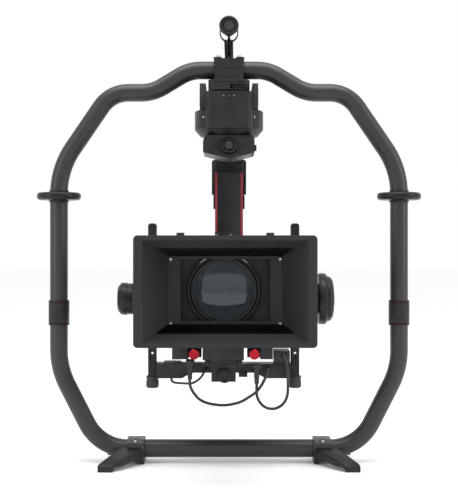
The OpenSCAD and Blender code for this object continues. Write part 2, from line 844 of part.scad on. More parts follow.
// Power button in the recess of the head
module power_button() color(grey) {
    rod_y(2.9, 0.3 - head_front, 8 - head_front, [0, head_top - 8]);
}

// Pan rotor: magnet bell, shaft and the neck that the arm clamp hangs from
module pan_rotor() color(steel) {
    bell_wall = 4;
    disc_z = pan_bottom + 2 + gap;
    disc_top = pan_bottom + 5 - gap;
    rod_z(pan_neck_r, arm_clamp_top, disc_top);
    rod_z(pan_rotor_r, disc_z, disc_top);
    rod_z(pan_shaft_r, disc_top - cut, pan_top - 5 - gap);
    difference() {
        rod_z(pan_rotor_r, disc_z, pan_top - 6);
        rod_z(pan_rotor_r - bell_wall, disc_top - cut, pan_top);
    }
}

// Housing that clamps the arm's beam; its front face has an eye-shaped recess round the knob
module arm_clamp_housing() color(graphite) {
    half = arm_clamp_w / 2;
    shoulder = 3.5;
    shoulder_h = 7;
    eye_r = 40;
    eye_w = 52;
    eye_offset = sqrt(eye_r * eye_r - eye_w * eye_w / 4);
    strip_w = 4;
    difference() {
        along_y(-arm_clamp_front, arm_clamp_rear) polygon([
            [shoulder - half, arm_clamp_top], [half - shoulder, arm_clamp_top],
            [half, arm_clamp_top - shoulder_h], [half, arm_clamp_side], [6, arm_clamp_v],
            [-6, arm_clamp_v], [-half, arm_clamp_side], [-half, arm_clamp_top - shoulder_h]
        ]);
        bar([-beam_w / 2 - gap, arm_clamp_wall - arm_clamp_front, beam_bottom - gap],
            [beam_w / 2 + gap, arm_clamp_rear + cut, beam_top + gap]);
        intersection() {
            rod_y(eye_r, -arm_clamp_front - cut, 2 - arm_clamp_front, [0, beam_mid - eye_offset]);
            rod_y(eye_r, -arm_clamp_front - cut, 2 - arm_clamp_front, [0, beam_mid + eye_offset]);
        }
        rod_y(arm_knob_d / 2 + 1, -arm_clamp_front - cut, 2 - arm_clamp_front, [0, beam_mid]);
        rod_y(4 + running_gap, -arm_clamp_front, arm_clamp_wall - arm_clamp_front + cut, [0, beam_mid]);
        bar([half - 4.5, -32, beam_bottom - 7], [half + cut, 4, beam_mid + 14]);
        rod_x(3 + running_gap, half - 12, half, [-10, beam_mid - 2]);
    }
    bar([-half - 0.8, -arm_clamp_front + 4, arm_clamp_side + 2],
        [-half + 1, strip_w - arm_clamp_front + 12, arm_clamp_top - shoulder_h - 2]);
}

// Knurled knob that tightens the arm clamp
module arm_clamp_knob() color(black) {
    r = arm_knob_d / 2;
    face = -arm_clamp_front + 2;
    difference() {
        turned_y([0, beam_mid]) polygon([
            [0, face - 8.6], [r - 5, face - 8.6], [r - 4, face - 9.6], [r - 1.2, face - 9.6],
            [r, face - 8.4], [r, face - gap], [4, face - gap], [4, face + 5], [0, face + 5]
        ]);
        for (a = [0 : 15 : 345])
            translate([0, 0, beam_mid]) rotate([0, a, 0])
                rod_y(0.7, face - 8, face, [r + 0.2, 0]);
    }
}

// Safety lever in a pocket on the right of the arm clamp
module arm_lock_lever() color(black) {
    half = arm_clamp_w / 2;
    z = beam_mid - 2;
    rod_x(3, half - 11, half - 2, [-10, z]);
    bar([half - 4.5 + gap, -28, z - 5], [half + 0.5, -5, z + 5]);
    bar([half - 1, -28, z - 5], [half + 3.5, -20, z + 5]);
}

// Arm: a level beam from the clamp to the back, and an upright down to the roll motor
module pan_arm() color(graphite) {
    corner = 20;
    cover_w = 36;
    cavity_front = arm_front + 7;
    upright_from = arm_clamp_rear + arm_travel + 100;
    difference() {
        union() {
            along_x(-beam_w / 2, beam_w / 2) polygon([
                [-beam_front, beam_bottom], [-beam_front, beam_top], [arm_rear - corner, beam_top],
                [arm_rear - corner, beam_bottom]
            ]);
            along_x(-arm_w / 2, arm_w / 2) polygon([
                [upright_from, beam_bottom], [upright_from, beam_top], [arm_rear - corner, beam_top],
                [arm_rear, beam_top - corner], [arm_rear, arm_bottom + 12], [arm_rear - 12, arm_bottom],
                [arm_front, arm_bottom], [arm_front, beam_bottom - elbow_fillet],
                [arm_front - elbow_fillet, beam_bottom]
            ]);
            arm_rails();
        }
        bar([-cover_w / 2, cavity_front, tilt_z + 30], [cover_w / 2, arm_rear + cut, beam_bottom - 4]);
        for (side = [-1, 1])
            bar([side > 0 ? arm_w / 2 - stripe_w : -arm_w / 2, arm_front - cut, tilt_z + 50],
                [side > 0 ? arm_w / 2 : stripe_w - arm_w / 2, arm_front + 3, beam_bottom - elbow_fillet]);
        rod_y(4, beam_front, arm_front + 8, [0, beam_bottom + beam_h / 2]);
        rod_y(8, arm_front - cut, arm_rear + cut, [0, tilt_z]);
    }
}

// Stepped rails along the outer edges of the upright
module arm_rails() {
    chamfer = 3;
    both_sides() for (s = rail_steps)
        along_y(arm_front + 2, arm_rear - 6) polygon([
            [arm_w / 2 - cut, beam_top - s[1]], [arm_w / 2 + s[2], beam_top - s[1]],
            [arm_w / 2 + s[2], beam_top - s[0] - chamfer],
            [arm_w / 2 + s[2] - chamfer, beam_top - s[0]], [arm_w / 2 - cut, beam_top - s[0]]
        ]);
}

// Coloured inlays along the front edges of the upright
module pan_arm_stripes() color(red) {
    both_sides()
        bar([arm_w / 2 - stripe_w, arm_front - 0.5, tilt_z + 50],
            [arm_w / 2, arm_front + 3, beam_bottom - elbow_fillet]);
}

// Cover over the cable channel in the back of the upright
module pan_arm_cover() color(black) {
    cover_w = 36;
    lip = 3;
    thick = 3;
    along_y(arm_rear, arm_rear + thick) translate([0, (tilt_z + 30 + beam_bottom - 4) / 2])
        round_rect(cover_w + 2 * lip, beam_bottom - 4 - tilt_z - 30 + 2 * lip, 6);
    difference() {
        rod_y(30, arm_rear, arm_rear + 5, [0, tilt_z - 4]);
        rod_y(22, arm_rear + 3.5, arm_rear + 6, [0, tilt_z - 4]);
    }
}

// Fixed half of the roll motor, open towards the yoke
module roll_motor_housing() color(graphite) {
    wall = 5;
    boss_r = roll_shaft_r + 6;
    turned_y([0, tilt_z]) polygon([
        [roll_r - wall, roll_front], [roll_r - 1.5, roll_front], [roll_r, roll_front + 1.5],
        [roll_r, arm_front], [roll_shaft_r + running_gap, arm_front],
        [roll_shaft_r + running_gap, arm_front - 14], [boss_r, arm_front - 14],
        [boss_r, arm_front - wall], [roll_r - wall, arm_front - wall]
    ]);
}

// Turning half of the roll motor, with the dovetail rail that carries the yoke
module roll_rotor() color(steel) {
    magnet_r = 34;
    magnet_front = roll_front + 3;
    face = roll_front - gap;
    turned_y([0, tilt_z]) polygon([
        [0, face - roll_plate_h], [roll_r - 2, face - roll_plate_h], [roll_r - 1, face - roll_plate_h + 1],
        [roll_r - 1, face], [magnet_r, face], [magnet_r, arm_front - 7], [magnet_r - 8, arm_front - 7],
        [magnet_r - 8, magnet_front], [roll_shaft_r, magnet_front], [roll_shaft_r, arm_front - 0.5],
        [0, arm_front - 0.5]
    ]);
    along_x(-rail_half_w, rail_half_w) polygon([
        [face - roll_plate_h, tilt_z - 8], [face - roll_plate_h, tilt_z + 8],
        [face - roll_plate_h - 6, tilt_z + 10.5], [face - roll_plate_h - 6, tilt_z - 10.5]
    ]);
}

// Yoke: a bar behind the camera with an arm forward to each tilt pivot
module roll_arm() color(graphite) {
    back = yoke_rear - gap;
    bar_front = back - yoke_bar;
    inner = yoke_half;
    motor_out = yoke_half + motor_arm_w;
    pivot_out = yoke_half + pivot_arm_w;
    channel_half = rail_half_w + roll_travel + 12;
    difference() {
        translate([yoke_x, 0, 0]) along_z(tilt_z - yoke_h / 2, tilt_z + yoke_h / 2) polygon([
            [inner, -yoke_tip], [motor_out, -yoke_tip], [motor_out, 70], [motor_out - 46, back],
            [46 - pivot_out, back], [-pivot_out, 70], [-pivot_out, -yoke_tip], [-inner, -yoke_tip],
            [-inner, 62], [38 - inner, bar_front], [inner - 38, bar_front], [inner, 62]
        ]);
        along_x(-channel_half, channel_half) polygon([
            [back + cut, tilt_z - 8 - gap], [back + cut, tilt_z + 8 + gap],
            [back - 6 - gap, tilt_z + 11 + gap], [back - 6 - gap, tilt_z - 11 - gap]
        ]);
        rod_x(tilt_shaft_r + bearing_wall, motor_side - cut, tilt_motor_x + cut, [0, tilt_z]);
        rod_x(tilt_shaft_r + bearing_wall, pivot_x - cut, pivot_side + cut, [0, tilt_z]);
    }
    for (x = [[motor_side, tilt_motor_x], [pivot_x, pivot_side]])
        difference() {
            rod_x(26, x[0], x[1], [0, tilt_z]);
            rod_x(tilt_shaft_r + bearing_wall, x[0] - cut, x[1] + cut, [0, tilt_z]);
        }
}

module tilt_bearings() color(steel) {
    for (x = [[motor_side + 2, tilt_motor_x - 1], [pivot_x + 1, pivot_side - 2]])
        difference() {
            rod_x(tilt_shaft_r + bearing_wall - seat_gap, x[0], x[1], [0, tilt_z]);
            rod_x(tilt_shaft_r + running_gap, x[0] - cut, x[1] + cut, [0, tilt_z]);
        }
}

module tilt_motor_housing() color(black) {
    r = tilt_d / 2;
    wall = 4;
    x0 = tilt_motor_x;
    x1 = tilt_motor_x + tilt_motor_l;
    turned_x([0, tilt_z]) polygon([
        [tilt_shaft_r + 1, x0], [r - 2, x0], [r, x0 + 2], [r, x1 - 4], [r - 1, x1 - 3.4], [r - 1, x1 - 2.6],
        [r - 3.4, x1], [r - 7, x1], [r - 7, x0 + wall], [tilt_shaft_r + 1, x0 + wall]
    ]);
}

// Dished outer cover of the tilt motor
module tilt_motor_cover() color(graphite) {
    r = tilt_cover_d / 2;
    x0 = tilt_motor_x + tilt_motor_l;
    x1 = x0 + tilt_cover_l;
    turned_x([0, tilt_z]) polygon([
        [0, x0 + 6], [0, x1], [r - 16, x1], [r - 7, x1 - 1.2], [r - 2.5, x1 - 3.6], [r, x1 - 7],
        [r, x0], [r - 4, x0], [r - 8, x0 + 6]
    ]);
}

// Closed housing of the pivot opposite the tilt motor
module pivot_housing() color(black) {
    r = pivot_d / 2;
    x0 = pivot_x - pivot_l;
    turned_x([0, tilt_z]) polygon([
        [0, x0], [r - 7, x0], [r - 5, x0 + 1], [r, x0 + 6], [r, x0 + 15], [r - 1, x0 + 16], [r - 1, pivot_x],
        [tilt_shaft_r + 1, pivot_x], [tilt_shaft_r + 1, x0 + 5], [0, x0 + 5]
    ]);
}

// Channel that grips a cage post; the cage slides up and down in it
module post_grip(side) {
    x_out = side > 0 ? motor_side - yoke_x - gap : yoke_half - gap;
    inner = post_outer + gap;
    half_h = 28;
    cheek = cage_post_d / 2 + gap;
    translate([yoke_x, 0, tilt_z]) to_side(side) difference() {
        bar([post_inner + 1, -cheek - cheek_w, -half_h], [x_out - 4, cheek + cheek_w, half_h]);
        bar([post_inner, -cheek, -half_h - cut], [inner, cheek, half_h + cut]);
    }
}

module to_side(side) {
    rotate([0, 0, side > 0 ? 0 : 180]) children();
}

// Driven half of the tilt axis
module tilt_rotor() color(steel) {
    post_grip(1);
    rod_x(24, motor_side - 4 - gap - cut, motor_side - gap, [0, tilt_z]);
    rod_x(tilt_shaft_r, motor_side - 4, tilt_motor_x + tilt_motor_l + 4, [0, tilt_z]);
    rod_x(tilt_d / 2 - 10, tilt_motor_x + 5, tilt_motor_x + tilt_motor_l - 1.5, [0, tilt_z]);
}

// Idle half of the tilt axis
module tilt_pivot() color(steel) {
    stub = 12;
    difference() {
        union() {
            post_grip(-1);
            rod_x(20, pivot_side + gap, pivot_side + 5, [0, tilt_z]);
            rod_x(tilt_shaft_r, pivot_x - stub, pivot_side + 4, [0, tilt_z]);
        }
        rod_y(3 + running_gap, -yoke_tip, -cage_post_d / 2 - gap - 2,
            [yoke_x - cage_half, tilt_z + 12]);
    }
}

// Knob that locks the height of the cage
module height_lock_knob() color(black) {
    front = -cage_post_d / 2 - gap - cheek_w;
    at = [yoke_x - cage_half, tilt_z + 12];
    difference() {
        rod_y(9, front - 11, front - gap, at);
        for (a = [0 : 45 : 315])
            translate([at[0], 0, at[1]]) rotate([0, a, 0]) rod_y(2, front - 12, front, [10, 0]);
    }
    rod_y(3, front - cut, front + 5, at);
}

// Two upright posts of the cage
module cage_posts() color(black) {
    slot_w = 5;
    top_round = 6;
    for (side = [-1, 1])
        difference() {
            translate([yoke_x + side * cage_half, 0, 0]) along_z(post_bottom, tilt_z + cage_over - 8)
                round_rect(cage_post_w, cage_post_d, 2);
            translate([yoke_x + side * cage_half, 0, tilt_z]) for (z = [-92, 62])
                rod_y(slot_w / 2, -cage_post_d, cage_post_d, [0, z]);
        }
    for (side = [-1, 1])
        translate([yoke_x + side * cage_half, 0, 0]) along_y(-cage_post_d / 2 + 2, cage_post_d / 2 - 2)
            polygon([
                [-cage_post_w / 2, tilt_z + cage_over - 8], [cage_post_w / 2, tilt_z + cage_over - 8],
                [cage_post_w / 2, tilt_z + cage_over - 3], [cage_post_w / 2 - 3, tilt_z + cage_over],
                [3 - cage_post_w / 2, tilt_z + cage_over], [-cage_post_w / 2, tilt_z + cage_over - 3]
            ]);
}

// Round caps on the lower ends of the posts
module post_end_caps() color(copper) {
    cap_r = post_cap_r;
    cap_h = 21;
    for (side = [-1, 1])
        translate([yoke_x + side * cage_half, 0, 0]) rotate_extrude() polygon([
            [0, post_bottom - cap_h], [cap_r - 2, post_bottom - cap_h],
            [cap_r, post_bottom - cap_h + 2], [cap_r, post_bottom - 9], [cap_r - 1, post_bottom - 8],
            [cap_r - 1, post_bottom - 6], [cap_r, post_bottom - 5], [cap_r, post_bottom - 2],
            [cap_r - 2, post_bottom], [0, post_bottom]
        ]);
}

// Crossbar under the camera, with an end bracket to each post and the dovetail clamp in the middle
module base_crossbar() color(graphite) {
    bracket_bottom = crossbar_bottom - 9.4;
    bracket_in = 66;
    slant = 14;
    half_d = crossbar_d / 2;
    jaw_in = tongue_w / 2 + gap;
    jaw_w = 7;
    difference() {
        union() {
            translate([yoke_x, 0, 0])
                bar([-post_inner, -half_d, crossbar_bottom], [post_inner, half_d, crossbar_top]);
            for (side = [-1, 1])
                translate([yoke_x, 0, 0]) along_y(-half_d, half_d) polygon([
                    [side * post_inner, bracket_bottom], [side * (bracket_in + slant - 10), bracket_bottom],
                    [side * (bracket_in - slant), crossbar_bottom + 1],
                    [side * (bracket_in - slant), crossbar_top], [side * post_inner, crossbar_top]
                ]);
            translate([yoke_x, 0, 0])
                bar([-dovetail_block_w / 2, -dovetail_front, dovetail_block_bottom],
                    [dovetail_block_w / 2, dovetail_front, crossbar_top + 1]);
            for (side = [-1, 1])
                translate([yoke_x, 0, 0]) along_y(-dovetail_front, dovetail_front) polygon([
                    [side * (dovetail_block_w / 2 - 4), crossbar_top - 2],
                    [side * (jaw_in + jaw_w), crossbar_top - 2],
                    [side * (jaw_in + jaw_w), tongue_top - 0.6], [side * (jaw_in - 1.5), tongue_top - 0.6],
                    [side * (jaw_in + 1), tongue_bottom - gap],
                    [0, tongue_bottom - gap], [0, crossbar_top - 2]
                ]);
        }
        rod_y(4 + running_gap, -dovetail_front - cut, 6 - dovetail_front, [yoke_x + 1.5, dovetail_z]);
        for (x = [-92, 92])
            rod_z(accessory_r, bracket_bottom - cut, crossbar_top - 2, [yoke_x + x, 8]);
        for (side = [-1, 1])
            rod_z(post_cap_r + seat_gap, bracket_bottom - cut, post_bottom + seat_gap,
                [yoke_x + side * cage_half, 0]);
    }
    translate([yoke_x, 0, 0])
        bar([25.5, -half_d - 1, crossbar_bottom - 7], [40, half_d - 10, crossbar_bottom + 1]);
}

// Sockets that the leads plug into
module cage_ports() color(black) {
    half_d = crossbar_d / 2;
    port_front = 46;
    fins = [0 : 4 : 24];
    strip_h = 1.5;
    bar([-72, -port_front, crossbar_top], [-58, 6 - half_d, crossbar_top + 8]);
    bar([39, -port_front, crossbar_top - 4], [53, -half_d, crossbar_top + 1.5]);
    difference() {
        bar([76, -half_d, crossbar_top + 3], [102.5, 25, crossbar_top + 22]);
        bar([79, -half_d - cut, crossbar_top + 6], [88, -half_d + 1, crossbar_top + 18]);
    }
    bar([76, -half_d + 2, crossbar_top], [102.5, 25, crossbar_top + 4]);
    bar([-111, -half_d + 1, crossbar_top], [-80, half_d - 1, crossbar_top + strip_h]);
    for (x = fins)
        bar([x - 109.5, -half_d + 1, crossbar_top], [x - 107.7, half_d - 1, crossbar_top + 3.5]);
}

module plug(x, z_low, z_high) {
    half = plug_w / 2;
    sleeve_h = 9;
    translate([x, -40, 0]) {
        along_z(z_low + sleeve_h, z_high) round_rect(plug_w, plug_w, 2);
        rod_z(half - 0.6, z_low, z_low + sleeve_h + cut);
    }
}

module cable_plugs() color(black) {
    plug(power_route[0][0], power_route[0][2], crossbar_top);
    plug(video_route[0][0], video_route[0][2], crossbar_top - 4);
}

function unit(v) = v / norm(v);
function heading(route, i) = unit(route[min(i + 1, len(route) - 1)] - route[max(i - 1, 0)]);

// A lead of round section swept along its route
module lead(route, d) {
    sides = d < 5 ? 8 : 10;
    rings = len(route);
    points = [
        for (i = [0 : rings - 1])
            let (ahead = heading(route, i), side = unit(cross(ahead, [0.1, 1, 0.1])), up = cross(side, ahead))
                for (k = [0 : sides - 1])
                    route[i] + d / 2 * (side * cos(360 * k / sides) + up * sin(360 * k / sides))
    ];
    faces = concat(
        [[for (k = [0 : sides - 1]) k]],
        [for (i = [0 : rings - 2], k = [0 : sides - 1]) [
            i * sides + k, (i + 1) * sides + k, (i + 1) * sides + (k + 1) % sides, i * sides + (k + 1) % sides
        ]],
        [[for (k = [sides - 1 : -1 : 0]) (rings - 1) * sides + k]]
    );
    polyhedron(points = points, faces = faces);
}

module lead_power() color(rubber) lead(power_route, power_d);
module lead_video() color(rubber) lead(video_route, video_d);
module lead_control() color(rubber) lead(control_route, control_d);

// Knob of the dovetail clamp
module dovetail_knob() color(black) {
    r = dovetail_knob_d / 2;
    face = -dovetail_front;
    at = [yoke_x + 1.5, dovetail_z];
    turned_y(at) polygon([
        [0, face - 9], [r - 4, face - 9], [r - 3, face - 10], [r - 1, face - 10], [r, face - 9],
        [r, face - gap], [4, face - gap], [4, face + 5], [0, face + 5]
    ]);
}

// Plate under the camera: dovetail tongue, risers beside the rods and a top plate
module camera_baseplate() color(graphite) {
    half = tongue_w / 2;
    flare = 1.2;
    plate_y = [-38, 50];
    top_h = 8;
    riser_top = base_top - top_h + 1;
    rod_hole = rod_d / 2 + seat_gap;
    difference() {
        union() {
            translate([yoke_x, 0, 0]) along_y(plate_y[0], plate_y[1]) polygon([
                [-half, tongue_bottom], [half, tongue_bottom], [half - 2.2 - flare, tongue_top - 0.3],
                [half - 2.2 - flare, tongue_top + 1], [2.2 + flare - half, tongue_top + 1],
                [2.2 + flare - half, tongue_top - 0.3]
            ]);
            bar([-44, plate_y[0], tongue_top], [25, plate_y[1], riser_top]);
            bar([-95, plate_y[0], crossbar_top + 10], [-68, plate_y[1] - 20, riser_top]);
            bar([52, plate_y[0], crossbar_top + 10], [73, plate_y[1] - 20, riser_top]);
            bar([-95, plate_y[0], base_top - top_h], [73, plate_y[1], base_top]);
            for (side = [-1, 1])
                translate([camera_x + side * rod_span / 2, 0, 0])
                    bar([-11, -8, rod_z_axis - 9], [11, 22, base_top - 1]);
        }
        for (side = [-1, 1])
            rod_y(rod_hole, plate_y[0] - cut, plate_y[1] + cut, [camera_x + side * rod_span / 2, rod_z_axis]);
        for (y = [0, 30])
            rod_z(3.3, base_top - top_h - 18, base_top + cut, [camera_x, y]);
    }
}

// Camera support rods with coloured caps
module support_rods() color(red) {
    front = -44;
    back = 70;
    cap_r = 8.5;
    for (side = [-1, 1])
        translate([camera_x + side * rod_span / 2, 0, 0]) {
            rod_y(rod_d / 2, front, back, [0, rod_z_axis]);
            turned_y([0, rod_z_axis]) polygon([
                [0, front - 6], [cap_r - 1, front - 6], [cap_r, front - 5], [cap_r, front - 1],
                [cap_r - 1, front], [0, front]
            ]);
        }
}

// Hollow camera body with the lens port in front and a screen frame behind
module camera_body() color(black) {
    half = camera_w / 2;
    x = camera_x;
    port_r = 30;
    difference() {
        union() {
            translate([x, 0, 0]) along_y(camera_front, camera_rear - 8)
                translate([0, base_top + camera_h / 2]) round_rect(camera_w, camera_h, 8);
            translate([x, 0, 0]) along_y(camera_rear - 9, camera_rear)
                translate([0, base_top + camera_h / 2]) round_rect(camera_w - 16, camera_h - 16, 6);
        }
        bar([x - half + camera_shell, camera_front + camera_shell, base_top + camera_shell],
            [x + half - camera_shell, camera_rear - 13, base_top + camera_h - camera_shell]);
        rod_y(port_r, camera_front - cut, 0, [x, lens_z]);
        bar([x - 50, camera_rear - 2, base_top + 34], [x + 50, camera_rear + cut, base_top + camera_h - 20]);
        rod_z(3.3, base_top - cut, base_top + camera_shell + cut, [x, 0]);
        rod_z(3.3, base_top - cut, base_top + camera_shell + cut, [x, 30]);
    }
}

// Lens barrel: mount, body and wide front ring
module lens_barrel() color(black) {
    front_r = lens_d / 2;
    mount_r = 34;
    body_r = 47;
    track_r = focus_d / 2 - 9;
    turned_y([camera_x, lens_z]) polygon([
        [26, camera_front], [mount_r, camera_front], [mount_r, -55], [body_r, -58], [body_r, -78],
        [track_r, -78], [track_r, -114], [body_r, -114], [body_r + 3, -118], [front_r, -128],
        [front_r, lens_front + 1], [front_r - 1, lens_front], [front_r - 3, lens_front],
        [front_r - 7, lens_front + 8], [front_r - 9, lens_front + 9], [front_r - 9, -126],
        [38, -110], [38, -62],
        [26, -58]
    ]);
}

// Front and rear glass
module lens_glass() color([0.12, 0.16, 0.2, 0.6]) {
    seat_r = lens_d / 2 - 9 - seat_gap;
    bulge_r = 90;
    edge_y = lens_front + 18;
    sag = bulge_r - sqrt(bulge_r * bulge_r - seat_r * seat_r);
    intersection() {
        rod_y(seat_r, lens_front + 1, edge_y + 5.5, [camera_x, lens_z]);
        translate([camera_x, edge_y - sag + bulge_r, lens_z]) sphere(r = bulge_r, $fn = 96);
    }
    rod_y(38 - seat_gap, -72, -66, [camera_x, lens_z]);
}

// Toothed focus ring that turns on the barrel
module focus_ring() color(black) {
    track_r = focus_d / 2 - 9;
    r = focus_d / 2;
    difference() {
        turned_y([camera_x, lens_z]) polygon([
            [track_r + running_gap, -113.5], [r - 3, -113.5], [r - 2, -112.5], [r - 2, -101], [r, -100],
            [r, -90], [r - 2, -89], [r - 2, -79.5], [r - 3, -78.5], [track_r + running_gap, -78.5]
        ]);
        for (i = [0 : 11])
            translate([camera_x, 0, lens_z]) rotate([0, 30 * i, 0])
                bar([-1.5, -100.5, r - 1.4], [1.5, -89.5, r + cut]);
    }
}

// A box-shaped funnel between two rectangles that face the front
module funnel(y0, size0, y1, size1) {
    points = [
        for (s = [[y0, size0], [y1, size1]], c = [[-1, -1], [1, -1], [1, 1], [-1, 1]])
            [hood_x + c[0] * s[1][0] / 2, s[0], hood_z + c[1] * s[1][1] / 2]
    ];
    polyhedron(points = points, faces = [
        [0, 3, 2, 1], [4, 5, 6, 7], [0, 1, 5, 4], [1, 2, 6, 5], [2, 3, 7, 6], [3, 0, 4, 7]
    ]);
}

// Matte box: flared hood with a rim, and the stage behind it with a slot for the filter tray
module matte_shell() {
    wall = 2 * hood_wall;
    slot_bottom = hood_z - filter_h / 2 - tray_side - gap;
    lens_hole = lens_d / 2 + 0.4;
    difference() {
        union() {
            along_y(-hood_front, rim_depth - hood_front) translate([hood_x, hood_z])
                round_rect(hood_w, hood_h, rim_round);
            funnel(rim_depth - hood_front - 1, [hood_open_w + wall, hood_open_h + wall], hood_back,
                [throat_w + wall, throat_h + wall]);
            along_y(hood_back, stage_back) translate([hood_x, hood_z]) round_rect(stage_w, stage_h, 4);
        }
        funnel(-hood_front - cut, [hood_open_w + 1.5, hood_open_h + 1], hood_back + cut,
            [throat_w, throat_h]);
        bar([hood_x - filter_w / 2, hood_back, hood_z - filter_h / 2],
            [hood_x + filter_w / 2, stage_back - 5, hood_z + filter_h / 2]);
        bar([hood_x - slot_w / 2, tray_y[0] - gap, slot_bottom],
            [hood_x + slot_w / 2, tray_y[1] + gap, hood_z + stage_h]);
        rod_y(lens_hole, lens_front - 2, stage_back + cut, [camera_x, lens_z]);
    }
}

// Matte box of flat panels that meet at the corners: hood, filter stage and two posts on top
module matte_box() color(black) {
    tall = 2 * hood_h;
    bands = [
        [-hood_front - cut, hood_back, hood_open_w + 1.5, throat_w],
        [hood_back, tray_y[0] - gap, filter_w, filter_w],
        [tray_y[0] - gap, tray_y[1] + gap, slot_w, slot_w],
        [tray_y[1] + gap, stage_back + cut, filter_w, filter_w]
    ];
    for (band = bands) {
        intersection() {
            matte_shell();
            funnel(band[0], [band[2] - seat_gap, tall], band[1] - seat_gap, [band[3] - seat_gap, tall]);
        }
        difference() {
            intersection() {
                matte_shell();
                bar([hood_x - tall, band[0], hood_z - tall],
                    [hood_x + tall, band[1] - seat_gap, hood_z + tall]);
            }
            funnel(band[0] - cut, [band[2] + seat_gap, 2 * tall],
                band[1] + cut, [band[3] + seat_gap, 2 * tall]);
        }
    }
    for (x = [-67.5, 67.5])
        rod_z(6, hood_z + hood_h / 2 - 3, hood_z + hood_h / 2 + 4, [hood_x + x, 10 - hood_front]);
}

// Filter tray with a pull tab; it lifts out of the stage
module filter_tray() color(grey) {
    half_w = filter_w / 2 + tray_side;
    bottom = hood_z - filter_h / 2 - tray_side;
    top = hood_z + stage_h / 2;
    tab_w = 28;
    screw_z = top + tray_tab_h - 5;
    difference() {
        union() {
            bar([hood_x - half_w, tray_y[0], bottom], [hood_x + half_w, tray_y[1], top]);
            bar([hood_x - tab_w / 2 - 2.5, tray_y[0], top - 1],
                [hood_x + tab_w / 2 - 2.5, tray_y[1], top + tray_tab_h]);
        }
        bar([hood_x - filter_w / 2 + 3, tray_y[0] - cut, hood_z - filter_h / 2 + 3],
            [hood_x + filter_w / 2 - 3, tray_y[1] + cut, hood_z + filter_h / 2 - 3]);
        bar([hood_x - 10, tray_y[0] - cut, top + 5], [hood_x + 5, tray_y[1] + cut, top + 15]);
    }
}

ring_upper();
ring_lower();
joint_spigots();
joint_rings();
hand_stops();
collar_left();
collar_right();
foot_left();
foot_right();
foot_clamp_caps();
foot_pads();
ring_clamp_block();
ring_clamp_cap();
clamp_screws();
handle_post();
handle_grip();
handle_end_cap();
release_plate();
release_lever();
head_housing();
pan_motor_housing();
pan_stator();
pan_bearings();
battery_left();
battery_right();
power_button();
pan_rotor();
arm_clamp_housing();
arm_clamp_knob();
arm_lock_lever();
pan_arm();
pan_arm_stripes();
pan_arm_cover();
roll_motor_housing();
roll_rotor();
roll_arm();
tilt_motor_housing();
tilt_motor_cover();
pivot_housing();
tilt_bearings();
tilt_rotor();
tilt_pivot();
height_lock_knob();
cage_posts();
post_end_caps();
base_crossbar();
cage_ports();
cable_plugs();
lead_power();
lead_video();
lead_control();
dovetail_knob();
camera_baseplate();
support_rods();
camera_body();
lens_barrel();
lens_glass();
focus_ring();
matte_box();
filter_tray();
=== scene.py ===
import json
import math

import bmesh
import bpy
from mathutils import Matrix, Vector


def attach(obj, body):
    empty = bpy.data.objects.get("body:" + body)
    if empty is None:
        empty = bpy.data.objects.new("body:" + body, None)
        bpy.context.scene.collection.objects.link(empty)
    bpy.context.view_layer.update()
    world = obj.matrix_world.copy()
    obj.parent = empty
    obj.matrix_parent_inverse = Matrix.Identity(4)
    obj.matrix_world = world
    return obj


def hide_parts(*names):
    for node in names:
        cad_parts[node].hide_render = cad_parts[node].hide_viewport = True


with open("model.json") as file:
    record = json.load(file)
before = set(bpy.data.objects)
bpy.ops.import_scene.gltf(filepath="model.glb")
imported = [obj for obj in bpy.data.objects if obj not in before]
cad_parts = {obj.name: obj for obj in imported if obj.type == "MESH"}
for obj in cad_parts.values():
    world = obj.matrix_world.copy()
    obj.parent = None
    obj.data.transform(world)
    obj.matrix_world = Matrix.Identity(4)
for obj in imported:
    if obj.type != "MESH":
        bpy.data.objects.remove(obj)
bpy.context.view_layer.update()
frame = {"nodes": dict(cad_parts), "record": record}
nodes = frame["nodes"]
record = frame["record"]
mm = 0.001

bodyOf = {node: body for body, held in record["behaviour"]["bodies"].items() for node in held}
slotOf = {part["node"]: part["material_slot"] for part in record["subparts"]}
print("frame loaded:", len(nodes), "nodes")


# Camera: straight in front, a little above the middle
viewpoint = {"back": 1.8, "height": 0.371, "lens": 78.1}

cameraData = bpy.data.cameras.new("camera")
cameraData.lens = viewpoint["lens"]
cameraData.sensor_width = 36
cameraData.clip_end = 50
cameraObject = bpy.data.objects.new("camera", cameraData)
cameraObject.location = (0, -viewpoint["back"], viewpoint["height"])
cameraObject.rotation_euler = (math.radians(90), 0, 0)
bpy.context.collection.objects.link(cameraObject)
bpy.context.scene.camera = cameraObject


def linear(hexColour):
    # sRGB hex to the linear values that shaders take
    parts = [int(hexColour[i:i + 2], 16) / 255 for i in (1, 3, 5)]
    return [c / 12.92 if c <= 0.04045 else ((c + 0.055) / 1.055) ** 2.4 for c in parts] + [1]


def addNode(tree, kind, settings, inputs):
    node = tree.nodes.new(kind)
    for name, value in settings.items():
        setattr(node, name, value)
    for name, value in inputs.items():
        if isinstance(value, bpy.types.NodeSocket):
            tree.links.new(value, node.inputs[name])
        else:
            node.inputs[name].default_value = value
    return node


def startMaterial(name):
    material = bpy.data.materials.new(name)
    material.use_nodes = True
    tree = material.node_tree
    tree.nodes.clear()
    coords = addNode(tree, "ShaderNodeTexCoord", {}, {})
    return material, tree, coords.outputs["Object"]


def endMaterial(tree, shaderInputs):
    shader = addNode(tree, "ShaderNodeBsdfPrincipled", {}, shaderInputs)
    addNode(tree, "ShaderNodeOutputMaterial", {}, {"Surface": shader.outputs[0]})


